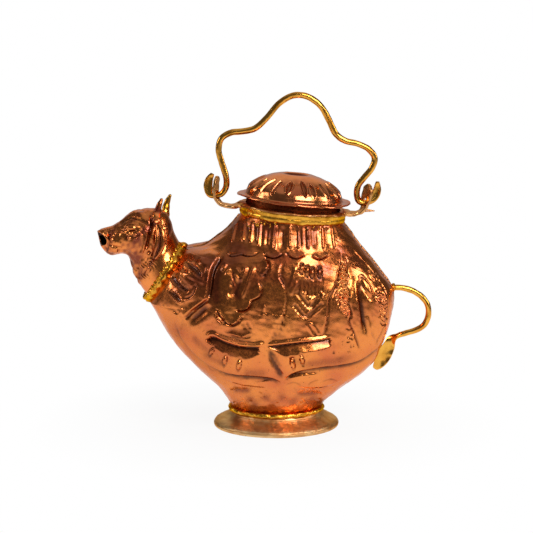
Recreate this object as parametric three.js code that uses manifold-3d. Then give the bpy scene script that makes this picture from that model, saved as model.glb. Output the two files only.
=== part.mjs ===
import * as THREE from 'three';
import { mergeVertices } from 'three/addons/utils/BufferGeometryUtils.js';
import Module from 'manifold-3d';

// A copper ewer in the form of a lying cow. Millimetres, +Z up, the spout points along -X,
// the front of the pot faces -Y. Measures below are taken from the axis of the foot.

const wasm = await Module();
wasm.setup();

// Driving dimensions
const footAxisX = 7.4;
const sheet = 1.2;
const fitGap = 0.3;
const seamHalfWidth = 0.5;
const seamProud = 0.8;

const neckCentre = new THREE.Vector3(10.2, 0, 138);
const neckTilt = THREE.MathUtils.degToRad(5.3);
const neckRadius = 33;
const bandHeight = 5.1;
const bandRadius = 34.2;
const plateRadius = 35;
const plateThickness = 1.2;
const mouthRadius = 30.6;
const mouthTop = 10.6;

const flangeRadius = 36.5;
const flangeThickness = 1;
const domeRadius = 31.3;
const petalCount = 20;
const petalHalfSize = [5.4, 1.5, 0.95];
const petalSlope = THREE.MathUtils.degToRad(42);
const knobHoleRadius = 2.2;
const lidWall = 1.4;
const skirtRadius = 28.9;
const skirtDepth = 7.6;

const earSpan = [-39.4, 56.9];
const earHeights = [151.4, 146.5];
const earThickness = 1.8;
const earWidth = 11;
const earHoleRadius = 3.3;
const bailRadius = 2;
const bailLeafLength = 15;
const handleRadius = 1.9;
const handleLeafHalfWidth = 6.2;
const handleLeafDish = 2.2;
const handleLeafTurn = THREE.MathUtils.degToRad(50);

const footRadius = 41;
const footTop = 10.1;
const vesselBottom = 12.4;
const vesselBottomRadius = 28.8;

const headTurn = THREE.MathUtils.degToRad(7);
const headPivot = new THREE.Vector3(-70, 0, 0);
const muzzleSlant = 0.55;
const shoulderEase = 0.02;
const hornLean = 3.5;
const eyeCentre = [-92.6, 13.6, 129.6];
const eyeHalfSize = [3.6, 2, 2.8];
const collarLow = [-82.2, 82.4];
const collarHigh = [-59.6, 116.8];
const collarWidth = 4.8;
const collarTeeth = 16;
const collarClearance = 0.7;
const roundSegments = 40;

// Colours of the metals
const metals = {
  copper: { color: 0xb8623a, roughness: 0.32, metalness: 1 },
  darkCopper: { color: 0x5a2a18, roughness: 0.5, metalness: 1 },
  brass: { color: 0xd9a441, roughness: 0.3, metalness: 1 },
  braze: { color: 0xc9a02e, roughness: 0.45, metalness: 1 },
};

const pot = new THREE.Group();
const object = new THREE.Group();
object.position.x = footAxisX;
pot.add(object);

function addPiece(name, geometry, metal, parent = object) {
  const mesh = new THREE.Mesh(geometry, new THREE.MeshStandardMaterial(metals[metal]));
  mesh.name = name;
  parent.add(mesh);
  return mesh;
}

// Closed meshes and solids
function signedVolume(points, triangles) {
  const cross = new THREE.Vector3();
  return triangles.reduce((sum, [a, b, c]) => {
    return sum + points[a].dot(cross.crossVectors(points[b], points[c])) / 6;
  }, 0);
}

function pointsOf(geometry) {
  const position = geometry.attributes.position;
  return Array.from({ length: position.count }, (_, k) => {
    return new THREE.Vector3().fromBufferAttribute(position, k);
  });
}

// One closed body: equal points become one, and triangles that this empties are dropped
function geometryOf(points, triangles) {
  const loose = new THREE.BufferGeometry().setFromPoints(points);
  loose.setIndex(triangles.flat());
  const merged = mergeVertices(loose, 1e-4);
  const index = Array.from(merged.index.array);
  const kept = triangles.map((_, k) => index.slice(3 * k, 3 * k + 3))
    .filter(([a, b, c]) => a !== b && b !== c && a !== c);
  const outward = signedVolume(pointsOf(merged), kept) > 0;
  merged.setIndex(kept.flatMap(([a, b, c]) => (outward ? [a, b, c] : [a, c, b])));
  return merged;
}

function toSolid(geometry) {
  const bare = geometry.clone();
  bare.deleteAttribute('normal');
  bare.deleteAttribute('uv');
  const merged = mergeVertices(bare, 1e-4);
  return new wasm.Manifold(new wasm.Mesh({
    numProp: 3,
    vertProperties: new Float32Array(merged.attributes.position.array),
    triVerts: new Uint32Array(merged.index.array),
  }));
}

function toGeometry(solid) {
  const mesh = solid.getMesh();
  const geometry = new THREE.BufferGeometry();
  geometry.setAttribute('position', new THREE.BufferAttribute(mesh.vertProperties, 3));
  geometry.setIndex(new THREE.BufferAttribute(mesh.triVerts, 1));
  return geometry;
}

// A turned ring from a closed profile of radius and height
function turned(profile, segments = roundSegments) {
  const closed = [...profile, profile[0]].map(([r, z]) => new THREE.Vector2(r, z));
  const geometry = new THREE.LatheGeometry(closed, segments);
  geometry.rotateX(Math.PI / 2);
  const index = Array.from(geometry.index.array);
  const triangles = Array.from({ length: index.length / 3 }, (_, k) => index.slice(3 * k, 3 * k + 3));
  return geometryOf(pointsOf(geometry), triangles);
}

// A sheet of quads between the rows of a grid
function gridTriangles(rows, columns, start = 0) {
  const triangles = [];
  for (let i = 0; i < rows - 1; i += 1) {
    for (let j = 0; j < columns - 1; j += 1) {
      const a = start + i * columns + j;
      const b = a + columns;
      triangles.push([a, b, a + 1], [a + 1, b, b + 1]);
    }
  }
  return triangles;
}

// The four edges of a grid, in order round it
function gridBorder(rows, columns) {
  const border = [];
  for (let j = 0; j < columns - 1; j += 1) {
    border.push(j);
  }
  for (let i = 0; i < rows - 1; i += 1) {
    border.push(i * columns + columns - 1);
  }
  for (let j = columns - 1; j > 0; j -= 1) {
    border.push((rows - 1) * columns + j);
  }
  for (let i = rows - 1; i > 0; i -= 1) {
    border.push(i * columns);
  }
  return border;
}

// A wall between an outer and an inner grid of the same size
function shellGeometry(outer, inner) {
  const rows = outer.length;
  const columns = outer[0].length;
  const count = rows * columns;
  const outside = gridTriangles(rows, columns);
  const inside = gridTriangles(rows, columns, count).map(([a, b, c]) => [a, c, b]);
  const border = gridBorder(rows, columns);
  const rim = border.flatMap((a, k) => {
    const b = border[(k + 1) % border.length];
    return [[a, b, a + count], [b, b + count, a + count]];
  });
  return geometryOf([...outer.flat(), ...inner.flat()], [...outside, ...inside, ...rim]);
}

// A form with a row of closed rings, its first and last ring capped
function ringsGeometry(rings) {
  const sides = rings[0].length;
  const points = rings.flat();
  const triangles = [];
  for (let i = 0; i < rings.length - 1; i += 1) {
    for (let j = 0; j < sides; j += 1) {
      const a = i * sides + j;
      const b = i * sides + ((j + 1) % sides);
      triangles.push([a, b, a + sides], [b, b + sides, a + sides]);
    }
  }
  const last = (rings.length - 1) * sides;
  for (const [base, flip] of [[0, true], [last, false]]) {
    const centre = points.slice(base, base + sides)
      .reduce((sum, p) => sum.add(p), new THREE.Vector3()).divideScalar(sides);
    points.push(centre);
    const hub = points.length - 1;
    for (let j = 0; j < sides; j += 1) {
      const a = base + j;
      const b = base + ((j + 1) % sides);
      triangles.push(flip ? [hub, b, a] : [hub, a, b]);
    }
  }
  return geometryOf(points, triangles);
}

// A bar along a curve: size gives its half widths across and along the side vector, how far its
// two edges are bent out of the middle, and how far it is turned about the curve
function bar(curve, steps, sides, size, side = new THREE.Vector3(0, 1, 0)) {
  const rings = [];
  for (let i = 0; i <= steps; i += 1) {
    const t = i / steps;
    const centre = curve.getPointAt(t);
    const tangent = curve.getTangentAt(t);
    const [halfAcross, halfAlong, dish = 0, turn = 0] = size(t);
    const across = new THREE.Vector3().crossVectors(side, tangent).normalize();
    across.applyAxisAngle(tangent, turn);
    const along = new THREE.Vector3().crossVectors(tangent, across).normalize();
    const ring = [];
    for (let j = 0; j < sides; j += 1) {
      const angle = (2 * Math.PI * j) / sides;
      ring.push(centre.clone()
        .addScaledVector(across, halfAcross * Math.cos(angle) + dish * Math.sin(angle) ** 2)
        .addScaledVector(along, halfAlong * Math.sin(angle)));
    }
    rings.push(ring);
  }
  return ringsGeometry(rings);
}

function planeCurve(points) {
  const flat = points.map(([x, z]) => new THREE.Vector3(x, 0, z));
  return new THREE.CatmullRomCurve3(flat, false, 'centripetal');
}

function spline(values) {
  const curve = new THREE.SplineCurve(values.map((value, k) => new THREE.Vector2(k, value)));
  return (v) => curve.getPoint(v).y;
}

function outline(points) {
  const curve = new THREE.SplineCurve(points.map(([x, z]) => new THREE.Vector2(x, z)));
  return (v) => curve.getPoint(Math.min(Math.max(v, 0), 1));
}

// The vessel is a stack of oval sections. Each runs on a straight line from the spout side
// to the handle side. The three stretches are below, at and above the spout collar.
const bellyLeft = outline([[-vesselBottomRadius, vesselBottom], [-31.6, 17.5], [-38.5, 27],
  [-47.5, 35.5], [-57, 45], [-66, 55.5], [-73, 66], [-78, 75.5], collarLow]);
const napeLeft = outline([collarHigh, [-48.1, 118.7], [-40, 123.8], [-31.5, 130.5], [-22.7, 140.7]]);
const bellyShare = 0.52;
const collarShare = 0.74;

function leftEdge(v) {
  if (v <= bellyShare) {
    return bellyLeft(v / bellyShare);
  }
  if (v >= collarShare) {
    return napeLeft((v - collarShare) / (1 - collarShare));
  }
  const share = (v - bellyShare) / (collarShare - bellyShare);
  return new THREE.Vector2(...collarLow).lerp(new THREE.Vector2(...collarHigh), share);
}

const rightEdge = outline([[vesselBottomRadius, vesselBottom], [32.8, 17.5], [44, 27], [56, 35.6],
  [65, 45], [69.6, 56], [73, 65.5], [75.3, 76], [76.3, 84.5], [75, 92], [68, 102], [61.5, 110.5],
  [54, 119.4], [47.6, 128.4], [43, 134.6]]);
const halfDepth = spline([vesselBottomRadius, 33.5, 39.5, 43.5, 46.3, 47.8, 48, 47.2, 45.3, 42.2,
  38.5, 35.3, neckRadius]);
const widest = spline([0, 0.5, 1.5, 1, 0, -1, -1.5, -1, 1, 4, 7, 9.2, 10.2]);
const fullness = spline([2, 2.05, 2.15, 2.3, 2.4, 2.4, 2.35, 2.3, 2.25, 2.2, 2.1, 2.05, 2]);
const collarRadius = Math.hypot(collarHigh[0] - collarLow[0], collarHigh[1] - collarLow[1]) / 2;

// Half the width of the round opening under the collar, where a section meets it
function collarHalfChord(v) {
  const share = (v - bellyShare) / (collarShare - bellyShare);
  return share <= 0 || share >= 1 ? 0 : 2 * collarRadius * Math.sqrt(share * (1 - share));
}

// The spout side's edge with its corners at the collar eased, for the flanks away from the collar
function easedEdge(v) {
  const mean = new THREE.Vector2();
  for (let k = -2; k <= 2; k += 1) {
    mean.addScaledVector(leftEdge(THREE.MathUtils.clamp(v + k * shoulderEase, 0, 1)), 0.2);
  }
  const share = THREE.MathUtils.smoothstep(v, 0.1, 0.3) * (1 - THREE.MathUtils.smoothstep(v, 0.85, 0.97));
  return leftEdge(v).lerp(mean, share);
}

// A point of the oval section at height v; u runs from the handle side to the spout side
function ovalPoint(u, v, left) {
  const right = rightEdge(v);
  const depth = halfDepth(v);
  const power = 2 / fullness(v);
  const middle = widest(v);
  const end = Math.PI - Math.asin((collarHalfChord(v) / depth) ** (1 / power));
  const angle = u * end;
  const leftReach = (middle - left.x) / Math.abs(Math.cos(end)) ** power;
  const reach = Math.cos(angle) > 0 ? right.x - middle : leftReach;
  const x = middle + Math.sign(Math.cos(angle)) * reach * Math.abs(Math.cos(angle)) ** power;
  const z = left.y + (right.y - left.y) * (x - left.x) / (right.x - left.x);
  return new THREE.Vector3(x, -depth * Math.sin(angle) ** power, z);
}

// A point of the vessel: v runs from foot to neck, u from the handle side to the spout side
function vesselPoint(u, v) {
  const plain = ovalPoint(u, v, leftEdge(v));
  return ovalPoint(u, v, easedEdge(v)).lerp(plain, THREE.MathUtils.smoothstep(u, 0.7, 0.97));
}

// The head is a row of ovals that turn from the collar round to the muzzle
const headTop = outline([[-62.2, 118.8], [-66.3, 127], [-68.3, 134.5], [-72.5, 141.2],
  [-81.5, 143], [-89, 142], [-95.5, 139.4], [-100.5, 135.6], [-105.5, 132.3], [-111, 130.8],
  [-116, 128.7]]);
const headLow = outline([[-84, 86.2], [-88.6, 93.2], [-92.2, 101], [-94.4, 107.5], [-96.4, 112.3],
  [-99.5, 113.9], [-103, 113.7], [-106.5, 113], [-109.3, 113.8], [-111.6, 115.8], [-114, 119.2]]);
const headHalfWidth = spline([20.6, 18.6, 17.2, 17, 16.8, 15.6, 13.8, 12, 10.8, 9.8, 8.2]);

function headPoint(u, v) {
  const top = headTop(v);
  const low = headLow(v);
  const angle = Math.PI * u;
  const along = (1 + Math.cos(angle)) / 2;
  const x = low.x + (top.x - low.x) * along;
  const z = low.y + (top.y - low.y) * along;
  return new THREE.Vector3(x, -headHalfWidth(v) * Math.sin(angle), z);
}

// The head looks a little towards the front: its neck turns about the collar
function turnHead(p, v = 1) {
  const turn = headTurn * THREE.MathUtils.smoothstep(v, 0, 0.35);
  return p.sub(headPivot).applyAxisAngle(new THREE.Vector3(0, 0, 1), turn).add(headPivot);
}

// The muzzle is cut back on its front half, so that its mouth opens a little to the front
function placeHead(p, v) {
  const back = muzzleSlant * Math.max(0, -p.y) * THREE.MathUtils.smoothstep(v, 0.8, 1);
  return turnHead(new THREE.Vector3(p.x + back, p.y, p.z), v);
}

function surfaceNormal(point, u, v) {
  const step = 1e-3;
  const du = point(Math.min(u + step, 1), v).sub(point(Math.max(u - step, 0), v));
  const dv = point(u, Math.min(v + step, 1)).sub(point(u, Math.max(v - step, 0)));
  const normal = new THREE.Vector3().crossVectors(dv, du).normalize();
  if (u === 0 || u === 1) {
    normal.y = Math.abs(point(u, v).y) < 1e-6 ? 0 : normal.y;
  }
  return normal.normalize();
}

// A grid of points on a surface, moved outwards by an offset; side -1 is the front, +1 the rear
function surfaceGrid(point, columns, rows, offset, side, middleGap, place = (p) => p) {
  return rows.map((v) => columns.map((u) => {
    const p = point(u, v);
    p.addScaledVector(surfaceNormal(point, u, v), offset);
    return place(new THREE.Vector3(p.x, side * Math.max(Math.abs(p.y), middleGap), p.z), v);
  }));
}

function steps(count) {
  return Array.from({ length: count + 1 }, (_, k) => k / count);
}

const seamEnds = [0.035, 0.985];
const vesselColumns = steps(18);
const roundShare = (k) => (1 - Math.cos(Math.PI * k)) / 2;
const vesselRows = [...steps(8).map((k) => k * bellyShare),
  ...steps(5).slice(1).map((k) => bellyShare + roundShare(k) * (collarShare - bellyShare)),
  ...steps(6).slice(1).map((k) => collarShare + k * (1 - collarShare))];
const headColumns = steps(11);
const headRows = steps(12);

function halfShell(point, columns, rows, side, middleGap, place) {
  const outer = surfaceGrid(point, columns, rows, 0, side, middleGap, place);
  const inner = surfaceGrid(point, columns, rows, -sheet, side, middleGap, place);
  return shellGeometry(outer, inner);
}

// The whole form as one solid, grown by an offset, for cutting what is brazed to it
function wholeForm(point, columns, rows, offset, place) {
  const front = surfaceGrid(point, columns, rows, offset, -1, 0, place);
  const rear = surfaceGrid(point, columns, rows, offset, 1, 0, place);
  return toSolid(ringsGeometry(front.map((row, k) => [...row, ...rear[k].reverse()])));
}

const vesselSolid = wholeForm(vesselPoint, vesselColumns, vesselRows, fitGap);
const headSolid = wholeForm(headPoint, headColumns, headRows, fitGap, placeHead);

// The largest body of a solid, without the crumbs that a cut leaves
function mainBody(solid) {
  return solid.decompose().reduce((best, next) => (next.volume() > best.volume() ? next : best));
}

// A strip of braze along the seam between the halves, at the handle (u = 0) or the spout (u = 1)
function seamStrip(u, from, to, count) {
  const stretch = steps(count).map((k) => from + (to - from) * k);
  const edge = (offset) => stretch.map((v) => {
    const p = vesselPoint(u, v).addScaledVector(surfaceNormal(vesselPoint, u, v), offset);
    return new THREE.Vector2(p.x, p.z);
  });
  const shape = new THREE.Shape([...edge(seamProud), ...edge(-sheet).reverse()]);
  const strip = new THREE.ExtrudeGeometry(shape, { depth: 2 * seamHalfWidth, bevelEnabled: false });
  strip.translate(0, 0, -seamHalfWidth);
  strip.rotateX(Math.PI / 2);
  return toGeometry(toSolid(strip));
}

function ellipsoid(x, y, z, scale, detail = 10) {
  const ball = new THREE.SphereGeometry(1, detail, Math.round(detail * 0.7));
  ball.scale(...scale);
  ball.translate(x, y, z);
  return toSolid(ball);
}

function makeVessel() {
  const middleGap = seamHalfWidth + fitGap;
  const [low, high] = seamEnds;
  const underCollar = bellyShare - 0.012;
  const overCollar = collarShare + 0.035;
  const half = (side) => halfShell(vesselPoint, vesselColumns, vesselRows, side, middleGap);
  addPiece('body_front_shell', half(-1), 'copper');
  addPiece('body_rear_shell', half(1), 'copper');
  addPiece('seam_braze_back', seamStrip(0, low, high, 24), 'braze');
  addPiece('seam_braze_chest', seamStrip(1, low, underCollar, 12), 'braze');
  addPiece('seam_braze_nape', seamStrip(1, overCollar, high, 8), 'braze');
}

// One half of the head, with the swell of its eye
function headHalf(side) {
  const shell = toSolid(halfShell(headPoint, headColumns, headRows, side, fitGap / 2, placeHead));
  const [x, y, z] = eyeCentre;
  const centre = turnHead(new THREE.Vector3(x, side * y, z));
  return toGeometry(shell.add(ellipsoid(centre.x, centre.y, centre.z, eyeHalfSize)));
}

// A curve on one side of the turned head, from points of its other side's mirror image
function headCurve(points, side, lean = 0) {
  const placed = points.map(([x, y, z]) => turnHead(new THREE.Vector3(x + lean, side * y, z)));
  return new THREE.CatmullRomCurve3(placed);
}

function horn(side) {
  const path = [[-79.4, 7.6, 132.5], [-78.4, 9.2, 139], [-76.9, 10.2, 145.2], [-74.6, 9.8, 150.6]];
  const curve = headCurve(path, side, side > 0 ? 2 * hornLean : 0);
  const size = (t) => {
    const taper = (1 - t) ** 0.8;
    return [0.8 + 1.9 * taper, 0.8 + 1.7 * taper];
  };
  return toGeometry(mainBody(toSolid(bar(curve, 9, 8, size)).subtract(headSolid)));
}

// The ear hangs beside the cheek, a narrow leaf
function ear(side) {
  const path = [[-77.5, 16.2, 134.5], [-76.6, 18.6, 128.5], [-77.4, 19.8, 120.5], [-80.6, 19.2, 113.2]];
  const curve = headCurve(path, side);
  const size = (t) => {
    const swell = Math.sin(Math.PI * (0.1 + 0.8 * t));
    return [0.5 + 3 * swell, 0.4 + 1.1 * swell];
  };
  return toGeometry(mainBody(toSolid(bar(curve, 10, 8, size)).subtract(headSolid)));
}

function makeHead() {
  addPiece('head_front_half', headHalf(-1), 'copper');
  addPiece('head_rear_half', headHalf(1), 'copper');
  addPiece('horn_front', horn(-1), 'copper');
  addPiece('horn_rear', horn(1), 'brass');
  addPiece('ear_front', ear(-1), 'copper');
  addPiece('ear_rear', ear(1), 'copper');
}

// The braze that joins head to body: a toothed band with a lump where it was finished
function makeSpoutCollar() {
  const ring = turned([[17.6, 0], [21, 0], [22, 1.6], [21.9, 3.6], [20.8, collarWidth],
    [17.6, collarWidth]], 2 * collarTeeth);
  const position = ring.attributes.position;
  for (let k = 0; k < position.count; k += 1) {
    const x = position.getX(k);
    const y = position.getY(k);
    const tooth = Math.round(Math.atan2(y, x) / (Math.PI / collarTeeth)) % 2 === 0 ? 1 : 0.975;
    const scale = Math.hypot(x, y) > 20 && position.getZ(k) > 1 ? tooth : 1;
    position.setXY(k, x * scale, y * scale);
  }
  const [lowX, lowZ] = collarLow;
  const [highX, highZ] = collarHigh;
  const axis = new THREE.Vector3(lowZ - highZ, 0, highX - lowX).normalize();
  const turn = new THREE.Quaternion().setFromUnitVectors(new THREE.Vector3(0, 0, 1), axis);
  ring.applyQuaternion(turn);
  ring.translate((lowX + highX) / 2, 0, (lowZ + highZ) / 2);
  const lump = ellipsoid(highX - 1.2, -1, highZ + 2.4, [3, 3, 2]);
  const clearance = axis.clone().multiplyScalar(collarClearance);
  const band = toSolid(ring).add(lump).subtract(vesselSolid).subtract(headSolid)
    .subtract(vesselSolid.translate([clearance.x, 0, clearance.z]))
    .subtract(headSolid.translate([-clearance.x, 0, -clearance.z]));
  addPiece('spout_collar', toGeometry(mainBody(band)), 'braze');
}

// Everything on the neck stands on its tilted rim
const neck = new THREE.Group();
neck.position.copy(neckCentre);
neck.rotation.y = neckTilt;
object.add(neck);

function onNeck(x, z) {
  const local = new THREE.Vector3(x, 0, z).sub(neckCentre);
  return local.applyAxisAngle(new THREE.Vector3(0, 1, 0), -neckTilt);
}

// A strap that leaves the ring flat and bends up into a pierced, round-topped ear
function earTab(points, hole) {
  const reach = 80;
  const below = -20;
  const run = planeCurve(points);
  const samples = steps(12).map((t) => ({ p: run.getPointAt(t), d: run.getTangentAt(t) }));
  const edge = (sign) => samples.map(({ p, d }) => new THREE.Vector2(
    p.x - sign * d.z * earThickness / 2,
    p.z + sign * d.x * earThickness / 2,
  ));
  const strap = new THREE.ExtrudeGeometry(new THREE.Shape([...edge(1), ...edge(-1).reverse()]),
    { depth: 2 * earWidth, bevelEnabled: false });
  strap.translate(0, 0, -earWidth);
  strap.rotateX(Math.PI / 2);
  const top = Math.max(...points.map(([, z]) => z));
  const half = earWidth / 2;
  const face = new THREE.Shape();
  face.moveTo(-half, below);
  face.lineTo(half, below);
  face.lineTo(half, top - half);
  face.absarc(0, top - half, half, 0, Math.PI, false);
  const blade = new THREE.ExtrudeGeometry(face, { depth: reach, bevelEnabled: false, curveSegments: 10 });
  blade.rotateX(Math.PI / 2);
  blade.rotateZ(Math.PI / 2);
  blade.translate(hole.x > 0 ? 0 : -reach, 0, 0);
  const pin = new THREE.CylinderGeometry(earHoleRadius, earHoleRadius, 12, 20);
  pin.rotateZ(Math.PI / 2);
  pin.translate(hole.x, 0, hole.z);
  return toSolid(strap).intersect(toSolid(blade)).subtract(toSolid(pin));
}

function makeRim() {
  const bandLow = 0;
  const mouthLow = 0.6;
  const plateLow = bandHeight + fitGap;
  const plateHigh = plateLow + plateThickness;
  const bore = mouthRadius + fitGap;
  const band = turned([[bore, bandLow], [bandRadius - 1.2, bandLow], [bandRadius - 0.3, 1],
    [bandRadius, 2.5], [bandRadius - 0.4, 4.3], [bandRadius - 1, bandHeight], [bore, bandHeight]]);
  const mouth = turned([[mouthRadius - sheet, mouthLow], [mouthRadius, mouthLow],
    [mouthRadius, mouthTop], [mouthRadius - sheet, mouthTop]]);
  addPiece('neck_band', band, 'braze', neck);
  addPiece('mouth_collar', mouth, 'darkCopper', neck);
  const ring = toSolid(turned([[bore, plateLow], [plateRadius, plateLow], [plateRadius, plateHigh],
    [bore, plateHigh]]));
  const middle = (plateLow + plateHigh) / 2;
  const holes = earSpan.map((x, k) => onNeck(x, earHeights[k]));
  const [left, right] = holes;
  const fromPlate = (points) => points.map(([x, rise]) => [x, middle + rise]);
  const leftTab = earTab(fromPlate([[-33.5, 0], [-35.6, -0.6], [-37.6, -2.1], [-40.5, -2.9],
    [-43.6, -2.2], [-46.8, -0.7], [-49.4, 2], [-50.7, 6], [-50.8, 10.5], [-50.4, 15.3]]), left);
  const rightTab = earTab(fromPlate([[33.5, 0], [35.8, -0.5], [38, -1], [41.5, -0.4], [43.9, 0.8],
    [45.6, 3], [46.1, 6.8], [46.9, 12.5], [47.6, 19]]), right);
  const plate = ring.add(leftTab).add(rightTab);
  addPiece('rim_plate', toGeometry(addSliver(plate)), 'copper', neck);
}

// A forked sliver of the sheet that the shears left under the right ear
function addSliver(plate) {
  const tip = [63.4, -2.5, 141.4];
  const prong = (start) => {
    const bend = [59.4, tip[1], (start[2] + tip[2]) / 2];
    const curve = new THREE.CatmullRomCurve3([start, bend, tip].map(([x, y, z]) => {
      const p = onNeck(x, z);
      return new THREE.Vector3(p.x, y, p.z);
    }));
    return toSolid(bar(curve, 5, 6, (t) => [0.55 - 0.2 * t, 0.45]));
  };
  return plate.add(prong([56.4, -2.5, 143])).add(prong([55.6, -2.5, 141.1]));
}

// The lid: a domed cover with a turned-out flange, lens-shaped petals and the hole of its lost knob
function makeLid() {
  const flangeLow = mouthTop + fitGap;
  const top = flangeLow + flangeThickness;
  const outer = [[flangeRadius, flangeLow], [flangeRadius + 0.3, flangeLow + 0.6],
    [flangeRadius - 0.4, top + 0.1], [domeRadius + 0.9, top], [domeRadius, top + 1.2],
    [domeRadius - 0.4, top + 3], [domeRadius - 1.9, top + 5.8], [domeRadius - 5.3, top + 8.9],
    [domeRadius - 9.9, top + 11.5], [domeRadius - 15.4, top + 13.8], [10.6, top + 15.1],
    [7.6, top + 15.4], [5.8, top + 14.9], [4.2, top + 14.1], [knobHoleRadius, top + 13.8]];
  const inner = [[knobHoleRadius, top + 12.4], [9.4, top + 13.4], [domeRadius - 11, top + 10.3],
    [domeRadius - 4.9, top + 6.4], [domeRadius - lidWall, flangeLow]];
  let dome = toSolid(turned([...outer, ...inner]));
  for (let k = 0; k < petalCount; k += 1) {
    const petal = new THREE.SphereGeometry(1, 6, 3, Math.PI / 6);
    petal.scale(...petalHalfSize);
    petal.rotateY(petalSlope);
    petal.translate(domeRadius - 4.9, 0, top + 9);
    petal.rotateZ((2 * Math.PI * (k + 0.5)) / petalCount);
    dome = dome.subtract(toSolid(petal));
  }
  addPiece('lid_dome', toGeometry(dome), 'copper', neck);
  const skirtTop = flangeLow - fitGap;
  const skirtLow = skirtTop - skirtDepth;
  addPiece('lid_skirt', turned([[skirtRadius - sheet, skirtLow], [skirtRadius, skirtLow],
    [skirtRadius, skirtTop], [skirtRadius - sheet, skirtTop]]), 'darkCopper', neck);
}

// The bail: a wavy rod that is threaded through the ears and hammered out into leaves at its ends
function makeBail() {
  const curve = planeCurve([[-41.6, 164.6], [-44.6, 160.5], [-45, 155.5], [-43, 151.8], [-39.4, 151.2],
    [-35.4, 152.2], [-32.6, 156.5], [-32.5, 163], [-35.2, 172], [-37.2, 181], [-35.4, 188],
    [-29.5, 191.8], [-21.5, 192.8], [-14, 194.6], [-6.6, 201], [2, 211], [11, 216], [19.5, 215.2],
    [28, 209.4], [34, 199.6], [38.6, 190.6], [44.5, 186.6], [52.5, 184.6], [59.6, 181], [63.4, 175.6],
    [61.6, 169], [56.6, 162.8], [52.8, 157.5], [52, 151.4], [53.6, 147.4], [57.2, 146.4],
    [61.6, 148.4], [64.8, 153.6], [65.4, 160.2]]);
  const length = curve.getLength();
  const tip = 0.8;
  const size = (t) => {
    const share = Math.min(1, (Math.min(t, 1 - t) * length) / bailLeafLength);
    const leaf = Math.sin(Math.PI * (0.08 + 0.92 * share));
    const rod = tip + (bailRadius - tip) * share;
    return [rod + 1.4 * leaf, rod + 0.5 * leaf];
  };
  addPiece('bail_handle', bar(curve, 70, 8, size), 'brass');
}

// The side handle: a C-shaped rod whose lower end is hammered out into a cupped leaf, which turns
// its hollow towards the front and lies against the vessel
function makeSideHandle() {
  const curve = planeCurve([[77.6, 90.8], [83, 90.4], [89.5, 88.2], [95.3, 84.1], [98.8, 78.6],
    [99.2, 72], [96.4, 65.9], [91, 62.1], [84.2, 59.9], [79, 57.7], [75.5, 54.6], [73, 50.4],
    [70.7, 46], [68.2, 41.8], [65.6, 38.2]]);
  const leafStart = 0.62;
  const leafHalfThickness = 0.9;
  const size = (t) => {
    const share = Math.max(0, (t - leafStart) / (1 - leafStart));
    const swell = Math.sin(Math.PI * Math.min(1, share * 1.08)) ** 1.2;
    const thin = Math.min(1, share * 4);
    return [
      handleRadius + (leafHalfThickness - handleRadius) * thin,
      handleRadius + (handleLeafHalfWidth - handleRadius) * swell - 0.9 * share,
      handleLeafDish * swell,
      -handleLeafTurn * THREE.MathUtils.smoothstep(t, leafStart, 0.76),
    ];
  };
  const handle = toSolid(bar(curve, 34, 10, size)).subtract(vesselSolid);
  addPiece('side_handle', toGeometry(mainBody(handle)), 'brass');
}

function makeHandleBraze() {
  const height = 90.6;
  const reach = 20;
  const rod = new THREE.CylinderGeometry(handleRadius + fitGap, handleRadius + fitGap, reach, 12);
  rod.rotateZ(Math.PI / 2);
  rod.translate(84, 0, height);
  const seamSlot = new THREE.BoxGeometry(8, 2 * (seamHalfWidth + fitGap), reach);
  seamSlot.translate(73.1, 0, height);
  const lump = ellipsoid(76.6, 0, height, [2.4, 4.2, 3.6], 12);
  const collar = lump.subtract(vesselSolid).subtract(toSolid(rod)).subtract(toSolid(seamSlot));
  addPiece('handle_top_braze', toGeometry(mainBody(collar)), 'braze');
}

// The foot: a flared ring, brazed on under the dished floor
function makeFoot() {
  addPiece('vessel_floor', turned([[0, 9.6], [14, 9.9], [24, 10.8], [28.4, 11.2], [28.4, 12.1], [24, 12],
    [14, 11.2], [0, 10.8]], 36), 'darkCopper');
  addPiece('foot_braze', turned([[29.3, footTop + 0.3], [30.6, footTop + 0.3], [31.3, footTop + 1.4],
    [31.1, footTop + 2.6], [30.3, footTop + 3], [29.3, footTop + 2.6]]), 'braze');
  addPiece('foot_flare', turned([[28.7, footTop], [29.8, footTop], [30.8, 8.4], [37.2, 6.5],
    [39.8, 4.6], [footRadius, 1.2], [footRadius - 0.4, 0], [footRadius - 3, 0], [36.6, 4],
    [28.7, 7.2]]), 'brass');
}

makeVessel();
makeHead();
makeSpoutCollar();
makeRim();
makeLid();
makeBail();
makeSideHandle();
makeHandleBraze();
makeFoot();

export default pot;
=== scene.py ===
import bpy
import math
import numpy as np
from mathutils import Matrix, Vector


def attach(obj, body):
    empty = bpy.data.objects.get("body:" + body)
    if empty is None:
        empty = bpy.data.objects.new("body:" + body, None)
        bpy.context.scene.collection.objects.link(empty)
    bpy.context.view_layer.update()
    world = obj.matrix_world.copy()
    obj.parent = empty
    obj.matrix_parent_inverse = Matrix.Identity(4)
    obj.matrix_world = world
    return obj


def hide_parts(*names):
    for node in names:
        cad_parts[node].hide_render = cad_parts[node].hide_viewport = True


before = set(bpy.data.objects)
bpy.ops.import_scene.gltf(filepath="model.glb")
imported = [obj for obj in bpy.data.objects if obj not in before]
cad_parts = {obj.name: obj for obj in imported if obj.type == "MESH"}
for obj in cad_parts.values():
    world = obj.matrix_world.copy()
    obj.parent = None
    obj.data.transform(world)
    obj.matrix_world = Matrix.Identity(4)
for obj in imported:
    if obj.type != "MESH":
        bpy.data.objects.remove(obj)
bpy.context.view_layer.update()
print("frame loaded:", len(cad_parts), "nodes")

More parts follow.
